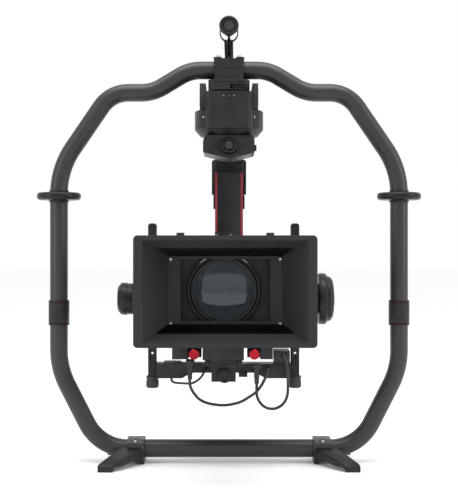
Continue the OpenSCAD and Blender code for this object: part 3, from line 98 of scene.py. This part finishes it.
def blendColours(tree, factor, low, high):
    mixer = addNode(tree, "ShaderNodeMix", {"data_type": "RGBA"}, {})
    tree.links.new(factor, mixer.inputs[0])
    for place, colour in ((6, low), (7, high)):
        if isinstance(colour, bpy.types.NodeSocket):
            tree.links.new(colour, mixer.inputs[place])
        else:
            mixer.inputs[place].default_value = colour
    return mixer.outputs[2]


def grained(name, low, high, roughness, grain, depth, metallic=0.0, coat=0.0, spread=0.12):
    # A finish whose colour and gloss drift slowly, over a grain of the given size in millimetres
    material, tree, at = startMaterial(name)
    cloud = addNode(tree, "ShaderNodeTexNoise", {}, {"Vector": at, "Scale": 28, "Detail": 4,
        "Roughness": 0.6})
    fine = addNode(tree, "ShaderNodeTexNoise", {}, {"Vector": at, "Scale": 1 / (grain * mm), "Detail": 2})
    both = addNode(tree, "ShaderNodeMath", {"operation": "MULTIPLY_ADD"},
                   {0: fine.outputs[0], 1: 0.45, 2: cloud.outputs[0]})
    tone = addNode(tree, "ShaderNodeMapRange", {}, {0: both.outputs[0], 1: 0.5, 2: 0.95})
    colour = blendColours(tree, tone.outputs[0], linear(low), linear(high))
    gloss = addNode(tree, "ShaderNodeMapRange", {}, {
        0: both.outputs[0], 1: 0.45, 2: 1.0, 3: roughness - spread / 2, 4: roughness + spread / 2})
    bump = addNode(tree, "ShaderNodeBump", {}, {"Strength": depth, "Distance": grain * mm,
        "Height": fine.outputs[0]})
    endMaterial(tree, {"Base Color": colour, "Metallic": metallic, "Roughness": gloss.outputs[0],
                       "Coat Weight": coat, "Coat Roughness": 0.2, "Normal": bump.outputs[0]})
    return material


def wovenCarbon():
    # Lacquered carbon tube: dark twill tows under a satin clear coat.
    # Real tows are about 2 mm; they are drawn at 3.4 mm so that the weave still shows.
    tow = 3.4 * mm
    material, tree, at = startMaterial("carbon_twill_satin_lacquer")
    waves = []
    for direction in ((1, 1.3, 1), (1, 1.3, -1)):
        along = addNode(tree, "ShaderNodeVectorMath", {"operation": "DOT_PRODUCT"}, {0: at, 1: direction})
        turns = addNode(tree, "ShaderNodeMath", {"operation": "MULTIPLY"},
            {0: along.outputs["Value"], 1: math.pi / tow})
        waves.append(addNode(tree, "ShaderNodeMath", {"operation": "SINE"},
            {0: turns.outputs[0]}).outputs[0])
    crossing = addNode(tree, "ShaderNodeMath", {"operation": "MULTIPLY"}, {0: waves[0], 1: waves[1]})
    cloud = addNode(tree, "ShaderNodeTexNoise", {}, {"Vector": at, "Scale": 40, "Detail": 3})
    weave = addNode(tree, "ShaderNodeMapRange", {}, {0: crossing.outputs[0], 1: -0.7, 2: 0.7})
    fibre = blendColours(tree, weave.outputs[0], linear("#0c0c0d"), linear("#1d1d1e"))
    colour = blendColours(tree, cloud.outputs[0], fibre, linear("#151516"))
    gloss = addNode(tree, "ShaderNodeMapRange", {}, {0: crossing.outputs[0], 1: -1, 2: 1, 3: 0.36, 4: 0.52})
    bump = addNode(tree, "ShaderNodeBump", {}, {"Strength": 0.25, "Distance": 0.15 * mm,
        "Height": crossing.outputs[0]})
    endMaterial(tree, {"Base Color": colour, "Roughness": gloss.outputs[0], "Coat Weight": 0.15,
                       "Coat Roughness": 0.35, "Normal": bump.outputs[0]})
    return material


def brushedSteel(name, low, high, roughness):
    # Turned or brushed metal: fine streaks along Z, about 0.4 mm apart
    material, tree, at = startMaterial(name)
    stretch = addNode(tree, "ShaderNodeMapping", {}, {"Vector": at, "Scale": (1, 1, 0.06)})
    streaks = addNode(tree, "ShaderNodeTexNoise", {}, {"Vector": stretch.outputs[0],
        "Scale": 1 / (0.4 * mm), "Detail": 3})
    colour = blendColours(tree, streaks.outputs[0], linear(low), linear(high))
    gloss = addNode(tree, "ShaderNodeMapRange", {}, {0: streaks.outputs[0], 3: roughness - 0.06,
        4: roughness + 0.08})
    bump = addNode(tree, "ShaderNodeBump", {}, {"Strength": 0.12, "Distance": 0.05 * mm,
        "Height": streaks.outputs[0]})
    endMaterial(tree, {"Base Color": colour, "Metallic": 1.0, "Roughness": gloss.outputs[0],
                       "Normal": bump.outputs[0]})
    return material


def paintedReflectionLens(name, centre, heart, middle, edge):
    # Coated inner element over a dark barrel, drawn opaque: its tint is a painted reflection, lighter in the
    # middle of the glass, running into painted shade at its rim
    material, tree, at = startMaterial(name)
    shift = addNode(tree, "ShaderNodeVectorMath", {"operation": "SUBTRACT"}, {0: at, 1: centre})
    flat = addNode(tree, "ShaderNodeVectorMath", {"operation": "MULTIPLY"},
        {0: shift.outputs[0], 1: (1, 0, 1)})
    radius = addNode(tree, "ShaderNodeVectorMath", {"operation": "LENGTH"}, {0: flat.outputs[0]})
    # Share of the way from the middle to the rim: lighter painted reflection inside, darker painted shade
    # outside
    share = addNode(tree, "ShaderNodeMapRange", {}, {0: radius.outputs["Value"], 1: 0.0, 2: 0.048})
    haze = addNode(tree, "ShaderNodeTexNoise", {}, {"Vector": at, "Scale": 22, "Detail": 2})
    mixed = addNode(tree, "ShaderNodeMath", {"operation": "MULTIPLY_ADD"},
                    {0: haze.outputs[0], 1: 0.16, 2: share.outputs[0]})
    inner = addNode(tree, "ShaderNodeMapRange", {}, {0: mixed.outputs[0], 1: 0.1, 2: 0.62})
    outer = addNode(tree, "ShaderNodeMapRange", {}, {0: mixed.outputs[0], 1: 0.62, 2: 1.0})
    near = blendColours(tree, inner.outputs[0], linear(heart), linear(middle))
    colour = blendColours(tree, outer.outputs[0], near, linear(edge))
    endMaterial(tree, {"Base Color": colour, "Roughness": 0.55, "IOR": 1.4,
                       "Specular IOR Level": 0.15})
    return material


def clearGlass():
    # Front element with a blue-green coating; clear, so that the rings behind it show
    material, tree, at = startMaterial("coated_front_glass")
    dust = addNode(tree, "ShaderNodeTexNoise", {}, {"Vector": at, "Scale": 60, "Detail": 3})
    gloss = addNode(tree, "ShaderNodeMapRange", {}, {0: dust.outputs[0], 3: 0.0, 4: 0.03})
    colour = blendColours(tree, dust.outputs[0], linear("#b4c4cc"), linear("#c4d2d8"))
    endMaterial(tree, {"Base Color": colour, "Roughness": gloss.outputs[0], "IOR": 1.5,
                       "Transmission Weight": 1.0})
    return material


def ribbed(name, low, high, pitch, direction):
    # Moulded rubber with fine ribs at the given pitch in millimetres
    material, tree, at = startMaterial(name)
    along = addNode(tree, "ShaderNodeVectorMath", {"operation": "DOT_PRODUCT"}, {0: at, 1: direction})
    turns = addNode(tree, "ShaderNodeMath", {"operation": "MULTIPLY"},
                    {0: along.outputs["Value"], 1: 2 * math.pi / (pitch * mm)})
    rib = addNode(tree, "ShaderNodeMath", {"operation": "SINE"}, {0: turns.outputs[0]})
    pores = addNode(tree, "ShaderNodeTexNoise", {}, {"Vector": at, "Scale": 1 / (0.5 * mm), "Detail": 2})
    height = addNode(tree, "ShaderNodeMath", {"operation": "MULTIPLY_ADD"}, {0: pores.outputs[0],
        1: 0.4, 2: rib.outputs[0]})
    colour = blendColours(tree, pores.outputs[0], linear(low), linear(high))
    gloss = addNode(tree, "ShaderNodeMapRange", {}, {0: pores.outputs[0], 3: 0.66, 4: 0.86})
    bump = addNode(tree, "ShaderNodeBump", {}, {"Strength": 0.5, "Distance": 0.25 * mm,
        "Height": height.outputs[0]})
    endMaterial(tree, {"Base Color": colour, "Roughness": gloss.outputs[0], "Normal": bump.outputs[0]})
    return material


lensCentre = (-0.008, -0.14, 0.298)

carbonTwill = wovenCarbon()
# Cast and machined aluminium, bead-blasted and dyed dark grey: soft metallic sheen
blastedGraphite = grained("blasted_graphite_anodise", "#1d1d1f", "#2b2b2e", 0.42, 0.5, 0.25, metallic=0.55)
# The same anodise dyed black, closer grain
blackAnodise = grained("black_anodise_satin", "#111112", "#1c1c1e", 0.38, 0.4, 0.18, metallic=0.5)
# Lighter grey anodise of the clamp caps
greyAnodise = grained("grey_anodise_satin", "#2f2f32", "#424246", 0.4, 0.5, 0.2, metallic=0.6)
# Glass-filled nylon, spark-eroded tool texture: matt with a fine grain
mouldedNylon = grained("moulded_black_nylon", "#161617", "#212123", 0.52, 0.7, 0.3)
# Matte box plastic: the deadest black, so that no light strays to the lens
flockedPlastic = grained("matt_black_moulding", "#0e0e0f", "#161617", 0.72, 0.6, 0.2)
# Polyurethane end caps, slightly brown
brownCap = grained("brown_black_urethane", "#1f1916", "#2b2420", 0.55, 0.6, 0.2)
# Dyed red anodise, clear and bright
redAnodise = grained("red_anodise_bright", "#8c1220", "#b81c2e", 0.3, 0.4, 0.12, metallic=0.75)
# The thin rings beside the ring joints, so deep a red that they read as a hairline
deepRedRing = grained("deep_red_ring", "#24090e", "#3a0f17", 0.4, 0.4, 0.1, metallic=0.4)
darkRedInlay = grained("red_lacquer_inlay", "#6e0d18", "#9a1424", 0.36, 0.4, 0.1, metallic=0.2, coat=0.4)
# PVC-free cable jacket, smooth and slightly soft
cableJacket = grained("cable_jacket_tpe", "#1b1b1c", "#29292a", 0.5, 0.8, 0.12)
machinedSteel = brushedSteel("machined_steel", "#8d8e90", "#c3c4c6", 0.28)
blackenedSteel = brushedSteel("blackened_steel", "#222224", "#39393b", 0.36)
copperWinding = grained("lacquered_copper_winding", "#7a3d1c", "#b8693a", 0.35, 0.6, 0.5, metallic=1.0)
gripRubber = ribbed("moulded_grip_rubber", "#101010", "#1a1a1a", 3.0, (0, 1, 0))
footRubber = ribbed("foot_pad_rubber", "#121212", "#1c1c1c", 2.4, (0, 1, 0))
frontGlass = clearGlass()
# Inner element: painted reflection, lighter in the middle, and painted shade, dark at the rim
innerGlass = paintedReflectionLens("inner_element_painted_reflection", lensCentre, "#4c4b59", "#2f3d4a", "#10222d")
# Screen glass: black and very smooth
screenGlass = grained("screen_cover_glass", "#07080a", "#0c0d10", 0.1, 2.0, 0.0, coat=1.0, spread=0.04)
# Pale paint in marks and rings
paleMark = grained("pale_printed_mark", "#9fa0a2", "#c0c1c3", 0.45, 0.5, 0.05)

slotFinish = {
    "carbon_tube": carbonTwill, "graphite_aluminium": blastedGraphite, "black_aluminium": blackAnodise,
    "grey_aluminium": greyAnodise, "red_aluminium": redAnodise, "steel": machinedSteel,
    "copper_windings": copperWinding, "black_plastic": mouldedNylon, "rubber": gripRubber,
    "lens_glass": frontGlass, "cable_jacket": cableJacket,
}
nodeFinish = {
    "matte_box": flockedPlastic, "post_end_caps": brownCap, "foot_pads": footRubber,
    "pan_rotor": blackenedSteel, "roll_rotor": blackenedSteel, "joint_spigots": blackenedSteel,
    "pan_arm_stripes": darkRedInlay, "foot_left": blastedGraphite, "foot_right": blastedGraphite,
    "filter_tray": blackAnodise, "support_rods": redAnodise, "joint_rings": deepRedRing,
}
for name, node in nodes.items():
    node.data.materials.clear()
    node.data.materials.append(nodeFinish.get(name, slotFinish[slotOf[name]]))
print("materials:", len(bpy.data.materials))


def addPiece(name, shape, body, finish, sharp=35):
    # A finished mesh piece: shading split at sharp edges, riding on its body
    mesh = bpy.data.meshes.new(name)
    shape.to_mesh(mesh)
    shape.free()
    mesh.materials.append(finish)
    mesh.shade_smooth()
    mesh.set_sharp_from_angle(angle=math.radians(sharp))
    piece = bpy.data.objects.new(name, mesh)
    bpy.context.collection.objects.link(piece)
    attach(piece, body)
    return piece


def turnAlong(axis, centre):
    # The transform that lays a shape made along +Z onto an axis, starting from a point
    turn = Vector((0, 0, 1)).rotation_difference(Vector(axis))
    return Matrix.Translation(centre) @ turn.to_matrix().to_4x4()


def turnProfile(shape, profile, axis, centre, steps=64):
    # Spins a profile of (radius, height) about an axis
    corners = [shape.verts.new((radius, 0, height)) for radius, height in profile]
    lines = [shape.edges.new(pair) for pair in zip(corners, corners[1:])]
    bmesh.ops.spin(shape, geom=corners + lines, cent=(0, 0, 0), axis=(0, 0, 1), angle=2 * math.pi,
                   steps=steps, use_merge=True)
    bmesh.ops.remove_doubles(shape, verts=shape.verts, dist=1e-7)
    bmesh.ops.recalc_face_normals(shape, faces=shape.faces)
    bmesh.ops.transform(shape, matrix=turnAlong(axis, centre), verts=shape.verts)


def inMetres(values):
    return tuple(value * mm for value in values)


def turnedPiece(name, profile, axis, centre, body, finish, steps=64, sharp=35):
    # A turned piece from a profile and a centre in millimetres
    shape = bmesh.new()
    turnProfile(shape, [inMetres(point) for point in profile], axis, inMetres(centre), steps)
    return addPiece(name, shape, body, finish, sharp)


def absorb(shape, other):
    # Adds one mesh under way to another
    holder = bpy.data.meshes.new("holder")
    other.to_mesh(holder)
    other.free()
    shape.from_mesh(holder)
    bpy.data.meshes.remove(holder)


def socketScrew(radius, height):
    # Cap screw seen from above: rounded rim and a round socket sunk into its top
    screw = bmesh.new()
    made = bmesh.ops.create_cone(screw, cap_ends=True, segments=24, radius1=radius, radius2=radius,
        depth=height)
    bmesh.ops.translate(screw, verts=made["verts"], vec=(0, 0, height / 2))
    top = [face for face in screw.faces if face.normal.z > 0.9]
    rim = list(top[0].edges)
    bmesh.ops.bevel(screw, geom=rim, offset=radius * 0.12, segments=2, profile=0.5, affect="EDGES",
        material=-1)
    top = max(screw.faces, key=lambda face: face.calc_center_median().z)
    bmesh.ops.inset_region(screw, faces=[top], thickness=radius * 0.38)
    bmesh.ops.translate(screw, verts=top.verts, vec=(0, 0, -height * 0.6))
    return screw


def screwPiece(name, places, axis, radius, height, body, finish=None):
    # Equal socket screws in one piece, at places in millimetres
    shape = bmesh.new()
    for place in places:
        screw = socketScrew(radius * mm, height * mm)
        bmesh.ops.transform(screw, matrix=turnAlong(axis, inMetres(place)), verts=screw.verts)
        absorb(shape, screw)
    return addPiece(name, shape, body, finish or machinedSteel)


def block(shape, low, high, bevel=0.0, segments=2):
    # A box between two corners, with its edges rounded
    part = bmesh.new()
    size = [high[i] - low[i] for i in range(3)]
    middle = [(high[i] + low[i]) / 2 for i in range(3)]
    bmesh.ops.create_cube(part, size=1)
    bmesh.ops.scale(part, vec=size, verts=part.verts)
    bmesh.ops.translate(part, vec=middle, verts=part.verts)
    if bevel:
        bmesh.ops.bevel(part, geom=part.edges, offset=bevel, segments=segments, profile=0.5, affect="EDGES",
                        material=-1)
    absorb(shape, part)


def softEdged(name, width=0.5, segments=2, limit=32):
    # The CAD part with its edges broken by a small round, as a machined or moulded one has
    node = nodes[name]
    shape = bmesh.new()
    shape.from_mesh(node.data)
    bmesh.ops.remove_doubles(shape, verts=shape.verts, dist=1e-6)
    bmesh.ops.dissolve_limit(shape, angle_limit=math.radians(0.6), verts=shape.verts, edges=shape.edges)
    finish = node.data.materials[0]
    piece = addPiece(name + "_finished", shape, bodyOf[name], finish, sharp=180)
    rounding = piece.modifiers.new("rounding", "BEVEL")
    rounding.width = width * mm
    rounding.segments = segments
    rounding.limit_method = "ANGLE"
    rounding.angle_limit = math.radians(limit)
    rounding.harden_normals = True
    rounding.use_clamp_overlap = True
    rounding.miter_outer = "MITER_ARC"
    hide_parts(name)
    return piece


# Leads on the cage: jacket thickness and route in millimetres
leads = {
    "lead_power": {"diameter": 5, "route": [
        (-65, -40, 146), (-65, -40, 138), (-62, -40, 129), (-56, -40, 120), (-48, -40, 112), (-37, -40, 107),
        (-23, -40, 104), (-8, -40, 103), (7, -40, 105), (20, -41, 109), (33, -44, 117), (45, -47, 126),
        (54, -45, 137), (60, -41, 148), (64, -38, 157), (66, -31, 164), (66, -20, 164)]},
    "lead_video": {"diameter": 5, "route": [
        (46, -40, 139), (46, -40, 128), (47, -40, 117), (52, -40, 107), (60, -40, 100), (71, -40, 97),
        (83, -40, 100), (92, -40, 108), (97, -40, 120), (98, -40, 134), (98, -40, 146), (97, -40, 158),
        (96, -39, 169), (93, -36, 179), (91, -29, 186), (91, -20, 186)]},
    "lead_control": {"diameter": 4, "route": [
        (-97, -12, 145), (-97, -12, 141), (-94, -13, 138), (-88, -16, 137), (-80, -20, 137), (-71, -24, 137),
        (-62, -27, 138), (-54, -29, 142), (-47, -30, 148), (-42, -30, 156), (-38, -26, 163),
        (-38, -20, 163)]},
}
for name, lead in leads.items():
    curve = bpy.data.curves.new(name + "_jacket", "CURVE")
    curve.dimensions = "3D"
    curve.resolution_u = 6
    curve.bevel_depth = lead["diameter"] / 2 * mm
    curve.bevel_resolution = 6
    curve.use_fill_caps = True
    spline = curve.splines.new("BEZIER")
    spline.bezier_points.add(len(lead["route"]) - 1)
    for bend, place in zip(spline.bezier_points, lead["route"]):
        bend.co = Vector(place) * mm
        bend.handle_left_type = "AUTO"
        bend.handle_right_type = "AUTO"
    curve.materials.append(cableJacket)
    piece = bpy.data.objects.new(name + "_jacket", curve)
    bpy.context.collection.objects.link(piece)
    bpy.context.view_layer.update()
    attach(piece, bodyOf[name])
    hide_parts(name)
print("leads:", len(leads))


# CAD parts with their edges broken: width of the round in millimetres
softWidths = {
    "ring_clamp_block": 0.7, "ring_clamp_cap": 0.8, "foot_left": 0.9, "foot_right": 0.9,
    "foot_clamp_caps": 0.7, "foot_pads": 0.8, "handle_post": 0.5, "handle_end_cap": 0.4,
    "release_plate": 0.6, "release_lever": 0.4, "head_housing": 0.7, "pan_motor_housing": 0.4,
    "battery_left": 1.2, "battery_right": 1.2, "arm_clamp_housing": 0.7, "arm_clamp_knob": 0.3,
    "arm_lock_lever": 0.4, "pan_arm": 0.9, "pan_arm_cover": 0.6, "roll_motor_housing": 0.5,
    "roll_arm": 1.2, "tilt_motor_housing": 0.5, "tilt_motor_cover": 0.5, "pivot_housing": 0.5,
    "tilt_rotor": 0.6, "tilt_pivot": 0.6, "height_lock_knob": 0.4, "cage_posts": 0.4,
    "post_end_caps": 0.3, "base_crossbar": 0.6, "cage_ports": 0.4, "dovetail_knob": 0.3,
    "camera_baseplate": 0.6, "camera_body": 0.8, "matte_box": 0.6, "filter_tray": 0.4,
    "hand_stops": 0.3, "collar_left": 0.3, "collar_right": 0.3, "power_button": 0.3,
}
for name, width in softWidths.items():
    softEdged(name, width)
print("soft-edged parts:", len(softWidths))


# Handle: ribbed grip and the disc on its hoop
handle = {"axis": 736, "from": -62, "to": 10, "radius": 7.5, "ribs": 18, "discZ": 729.5, "front": -64.6}

ribProfile = [(0, handle["from"])]
ribStep = (handle["to"] - handle["from"]) / handle["ribs"]
for i in range(handle["ribs"]):
    start = handle["from"] + i * ribStep
    ribProfile += [(handle["radius"] - 0.5, start), (handle["radius"], start + 0.5),
        (handle["radius"], start + ribStep - 0.9), (handle["radius"] - 0.5, start + ribStep - 0.4)]
ribProfile += [(handle["radius"] + 1.7, handle["to"]), (handle["radius"] + 1.9, handle["to"] + 5),
               (handle["radius"] + 0.8, handle["to"] + 6), (0, handle["to"] + 6)]
grip = turnedPiece("handle_grip_ribbed", ribProfile, (0, 1, 0), (0, 0, handle["axis"]), "ring",
    gripRubber, steps=48)
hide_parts("handle_grip")
discFront = (0, handle["front"], handle["discZ"])
turnedPiece("handle_disc", ((0, -0.8), (0, 0.5), (6.2, 0.5), (6.4, 1.0), (7.6, 1.0), (8, 0.6),
    (8, -0.8), (0, -0.8)), (0, -1, 0), discFront, "ring", greyAnodise)
print("handle")


# Head: button ring, lamps, seams, screws and rear fins
head = {"front": -62, "buttonZ": 614.5, "drumRadius": 58, "seamAt": 42, "screwZ": 582, "ventRows": 6,
        "lampX": 8.6}

turnedPiece("power_ring", ((3.5, 0), (3.5, 0.4), (4.1, 0.6), (4.5, 0.3), (4.5, 0), (3.5, 0)),
    (0, -1, 0), (0, head["front"] + 1.4, head["buttonZ"]), "ring", blackenedSteel)
lamps = bmesh.new()
for x in (head["lampX"], -head["lampX"]):
    lamp = bmesh.new()
    turnProfile(lamp, [(0, 0.3 * mm), (0.8 * mm, 0.2 * mm), (1.0 * mm, -0.4 * mm), (0, -0.4 * mm)],
        (0, -1, 0), (x * mm, (head["front"] + 1.4) * mm, (head["buttonZ"] + 1) * mm), 20)
    absorb(lamps, lamp)
addPiece("status_lamps", lamps, "ring", paleMark)
seamDepth = math.sqrt(head["drumRadius"] ** 2 - head["seamAt"] ** 2)
seams = bmesh.new()
for side in (-1, 1):
    seam = bmesh.new()
    block(seam, (-0.35 * mm, -0.25 * mm, 0), (0.35 * mm, 0.3 * mm, 10 * mm), 0.1 * mm, 1)
    turn = math.atan2(side * head["seamAt"], seamDepth)
    bmesh.ops.rotate(seam, cent=(0, 0, 0), matrix=Matrix.Rotation(turn, 3, "Z"), verts=seam.verts)
    bmesh.ops.translate(seam, vec=(side * head["seamAt"] * mm, -seamDepth * mm, 567 * mm), verts=seam.verts)
    absorb(seams, seam)
addPiece("drum_seams", seams, "ring", mouldedNylon)
for side, label in ((-1, "left"), (1, "right")):
    outward = (side * head["seamAt"], -seamDepth, 0)
    screwPiece("drum_screw_" + label, [(side * head["seamAt"], -seamDepth, head["screwZ"])], outward,
        1.9, 0.9, "ring")
vents = bmesh.new()
for i in range(head["ventRows"]):
    z = 598 + i * 3.4
    block(vents, (-24 * mm, 57.6 * mm, z * mm), (24 * mm, 58.5 * mm, (z + 1.5) * mm), 0.3 * mm)
addPiece("head_rear_fins", vents, "ring", blackAnodise)
screwPiece("head_rear_screws", [(x, 58, z) for x in (-30, 30) for z in (600, 614)], (0, 1, 0), 1.8, 0.9,
    "ring")
screwPiece("plate_screws", [(x, y, 645) for x in (-29, 29) for y in (-30, 30)], (0, 0, 1), 2.4, 1.0,
    "ring", finish=blackenedSteel)
for side, label in ((-1, "left"), (1, "right")):
    inlay = bmesh.new()
    face = side * 48.8
    block(inlay, (min(face, face + side * 0.5) * mm, -26 * mm, 603 * mm),
          (max(face, face + side * 0.5) * mm, 24 * mm, 632 * mm), 0.2 * mm)
    for i in range(4):
        block(inlay, (min(face, face + side * 0.9) * mm, (-20 + i * 5) * mm, 606 * mm),
              (max(face, face + side * 0.9) * mm, (-18.6 + i * 5) * mm, 607.4 * mm), 0.15 * mm)
    addPiece("battery_inlay_" + label, inlay, "battery_" + label, flockedPlastic)
print("head")


# Arm clamp knob, cover screws and roll motor screws
armClamp = {"knobFace": -54.6, "knobZ": 534}

turnedPiece("arm_knob_ring", ((10.4, -0.4), (10.4, 0.2), (11, 0.5), (11.8, 0.3), (11.8, -0.4),
    (10.4, -0.4)), (0, -1, 0), (0, armClamp["knobFace"], armClamp["knobZ"]), "arm_knob",
    blackenedSteel)
turnedPiece("arm_knob_cap", ((0, -0.4), (0, 0.7), (5.6, 0.6), (6.4, 0.1), (6.4, -0.4), (0, -0.4)),
    (0, -1, 0), (0, armClamp["knobFace"] + 1, armClamp["knobZ"]), "arm_knob",
    greyAnodise)
screwPiece("arm_cover_screws", [(x, 218, z) for x in (-17.5, 17.5) for z in (330, 400, 470, 512)],
    (0, 1, 0), 1.7, 0.9, "arm")
screwPiece("roll_cover_screws", [(26 * math.cos(a), 219.5, 274 + 26 * math.sin(a))
    for a in [math.radians(60 * i + 30) for i in range(6)]], (0, 1, 0), 1.6, 0.4, "arm")
print("arm")


# Tilt motor cover and the pivot on the other side
tiltMotor = {"face": 177, "axis": 278, "screwCircle": 24}

screwPiece("tilt_cover_screws", [(tiltMotor["face"], tiltMotor["screwCircle"] * math.cos(a) * 0.85,
    tiltMotor["axis"] + tiltMotor["screwCircle"] * math.sin(a) * 0.85)
    for a in [math.radians(60 * i) for i in range(6)]], (1, 0, 0), 1.6, 0.7, "yoke")
turnedPiece("tilt_cover_boss", ((0, -0.5), (0, 0.8), (9, 0.8), (10, 1.3), (12, 1.3), (13, 0.4),
    (13, -0.5), (0, -0.5)), (1, 0, 0), (tiltMotor["face"], 0, tiltMotor["axis"]), "yoke",
    blackAnodise)
turnedPiece("pivot_boss", ((0, -0.5), (0, 0.6), (8, 0.6), (9, 1.0), (11, 1.0), (12, 0.3), (12, -0.5),
    (0, -0.5)), (-1, 0, 0), (-188, 0, tiltMotor["axis"]), "yoke", blackAnodise)
screwPiece("pivot_screws", [(-188, 16 * math.cos(a), tiltMotor["axis"] + 16 * math.sin(a))
    for a in [math.radians(90 * i + 45) for i in range(4)]], (-1, 0, 0), 1.5, 0.7, "yoke")
print("tilt axis")


# Lens: baffles, inner element, retainer and focus teeth
lens = {"x": -8, "z": 298, "baffles": ((46.5, 43.5, -124), (42, 38.5, -116), (37.5, 34, -108),
    (37.4, 31, -98))}
lensAxis = (0, 1, 0)

for i, (outer, inner, y) in enumerate(lens["baffles"]):
    turnedPiece("lens_baffle_%d" % (i + 1), ((outer, 0), (inner + 0.6, 0), (inner, 0.6),
        (inner + 0.6, 1.6), (outer, 1.6), (outer, 0)), lensAxis, (lens["x"], y, lens["z"]), "camera",
        blackAnodise, steps=96)
dome = [(37 * math.sin(a), 16 - 16 * math.cos(a)) for a in [math.radians(9 * i) for i in range(11)]]
turnedPiece("lens_inner_element", dome + [(37, 18), (0, 18)], lensAxis, (lens["x"], -94, lens["z"]),
    "camera", innerGlass, steps=96)
turnedPiece("lens_front_retainer", ((51.6, 0), (50.8, -0.5), (48.6, 0.4), (48.2, 1.6), (51.6, 1.6),
    (51.6, 0)), lensAxis, (lens["x"], -143.2, lens["z"]), "camera", blackenedSteel,
    steps=96)

focus = {"radius": 53.4, "teeth": 120, "from": -100, "to": -90}
teeth = bmesh.new()
bmesh.ops.create_cone(teeth, cap_ends=False, segments=focus["teeth"] * 2, radius1=focus["radius"] * mm,
                      radius2=focus["radius"] * mm, depth=(focus["to"] - focus["from"]) * mm)
flanks = [face for i, face in enumerate(teeth.faces) if i % 2]
raised = bmesh.ops.extrude_discrete_faces(teeth, faces=flanks)["faces"]
for face in raised:
    outward = face.calc_center_median().normalized()
    bmesh.ops.translate(teeth, verts=face.verts, vec=outward * 0.9 * mm)
bmesh.ops.recalc_face_normals(teeth, faces=teeth.faces)
bmesh.ops.transform(teeth, verts=teeth.verts, matrix=turnAlong(
    lensAxis, (lens["x"] * mm, (focus["from"] + focus["to"]) / 2 * mm, lens["z"] * mm)))
addPiece("focus_teeth", teeth, "focus", gripRubber)
print("lens")


# Matte box stage and filter tray screws
tray = {"x": -5.5, "stageX": 84.4, "stageFront": -164, "stageZ": 297.75, "stageHalf": 49.45, "z": 299.8,
        "front": -160, "cornerX": 73.4, "cornerZ": 47, "tabZ": 384.8}

screwPiece("stage_corner_screws", [(tray["x"] + sx * tray["stageX"], tray["stageFront"],
    tray["stageZ"] + sz * tray["stageHalf"]) for sx in (-1, 1) for sz in (-1, 1)], (0, -1, 0), 2.2,
    0.8, "camera")
screwPiece("tray_corner_screws", [(tray["x"] + sx * tray["cornerX"], tray["front"],
    tray["z"] - tray["cornerZ"]) for sx in (-1, 1)], (0, -1, 0), 1.8, 0.5, "filter",
    finish=blackenedSteel)
screwPiece("tray_tab_screws", [(x, tray["front"], tray["tabZ"]) for x in (-19.3, 2.7)], (0, -1, 0), 2.1,
    0.9, "filter")
print("matte box")


# Camera body: screen, buttons and fins
rear = {"x": -8, "y": 68, "low": 242, "high": 316}

screen = bmesh.new()
block(screen, ((rear["x"] - 47) * mm, (rear["y"] - 0.2) * mm, rear["low"] * mm),
      ((rear["x"] + 47) * mm, (rear["y"] + 1.4) * mm, rear["high"] * mm), 0.8 * mm, 3)
addPiece("rear_screen", screen, "camera", screenGlass)
buttons = bmesh.new()
for i in range(6):
    button = bmesh.new()
    turnProfile(button, [(0, 1.2 * mm), (2.6 * mm, 1.2 * mm), (3.2 * mm, 0.6 * mm), (3.2 * mm, -0.5 * mm),
                (0, -0.5 * mm)], (0, 1, 0), ((rear["x"] - 44 + i * 17.6) * mm, 70 * mm, 225 * mm), 28)
    absorb(buttons, button)
addPiece("rear_buttons", buttons, "camera", mouldedNylon)
sideVents = bmesh.new()
for i in range(7):
    z = 250 + i * 7
    block(sideVents, (66.6 * mm, -10 * mm, z * mm), (67.6 * mm, 44 * mm, (z + 3) * mm), 0.3 * mm)
addPiece("camera_side_fins", sideVents, "camera", flockedPlastic)
screwPiece("camera_side_screws", [(-83, y, z) for y in (-28, 50) for z in (222, 324)], (-1, 0, 0), 1.8,
    0.7, "camera")
print("camera body")


# Stage: pale floor, white surroundings and three soft lights
studio = {"world": 1.0, "key": 26, "fill": 9, "rim": 12}

floorMesh = bmesh.new()
bmesh.ops.create_grid(floorMesh, x_segments=1, y_segments=1, size=14)
floorData = bpy.data.meshes.new("floor")
floorMesh.to_mesh(floorData)
floorMesh.free()
floorMaterial = grained("pale_paper", "#fafafa", "#fdfdfd", 0.95, 3.0, 0.0)
floorData.materials.append(floorMaterial)
floor = bpy.data.objects.new("floor", floorData)
bpy.context.collection.objects.link(floor)

world = bpy.data.worlds.new("studio")
world.use_nodes = True
world.node_tree.nodes["Background"].inputs["Color"].default_value = (1, 1, 1, 1)
world.node_tree.nodes["Background"].inputs["Strength"].default_value = studio["world"]
bpy.context.scene.world = world
bpy.context.scene.view_settings.view_transform = "Standard"


def softbox(name, place, target, size, power):
    data = bpy.data.lights.new(name, "AREA")
    data.shape = "RECTANGLE"
    data.size, data.size_y = size
    data.energy = power
    lamp = bpy.data.objects.new(name, data)
    lamp.location = place
    lamp.rotation_euler = (Vector(target) - Vector(place)).to_track_quat("-Z", "Y").to_euler()
    bpy.context.collection.objects.link(lamp)


softbox("top_box", (0, -0.3, 2.0), (0, 0, 0.4), (1.8, 1.0), studio["key"])
softbox("left_box", (-1.8, -1.2, 0.9), (0, 0, 0.35), (0.8, 1.6), studio["fill"])
softbox("right_box", (2.0, -0.9, 1.0), (0, 0, 0.35), (0.6, 1.6), studio["rim"])
print("stage")
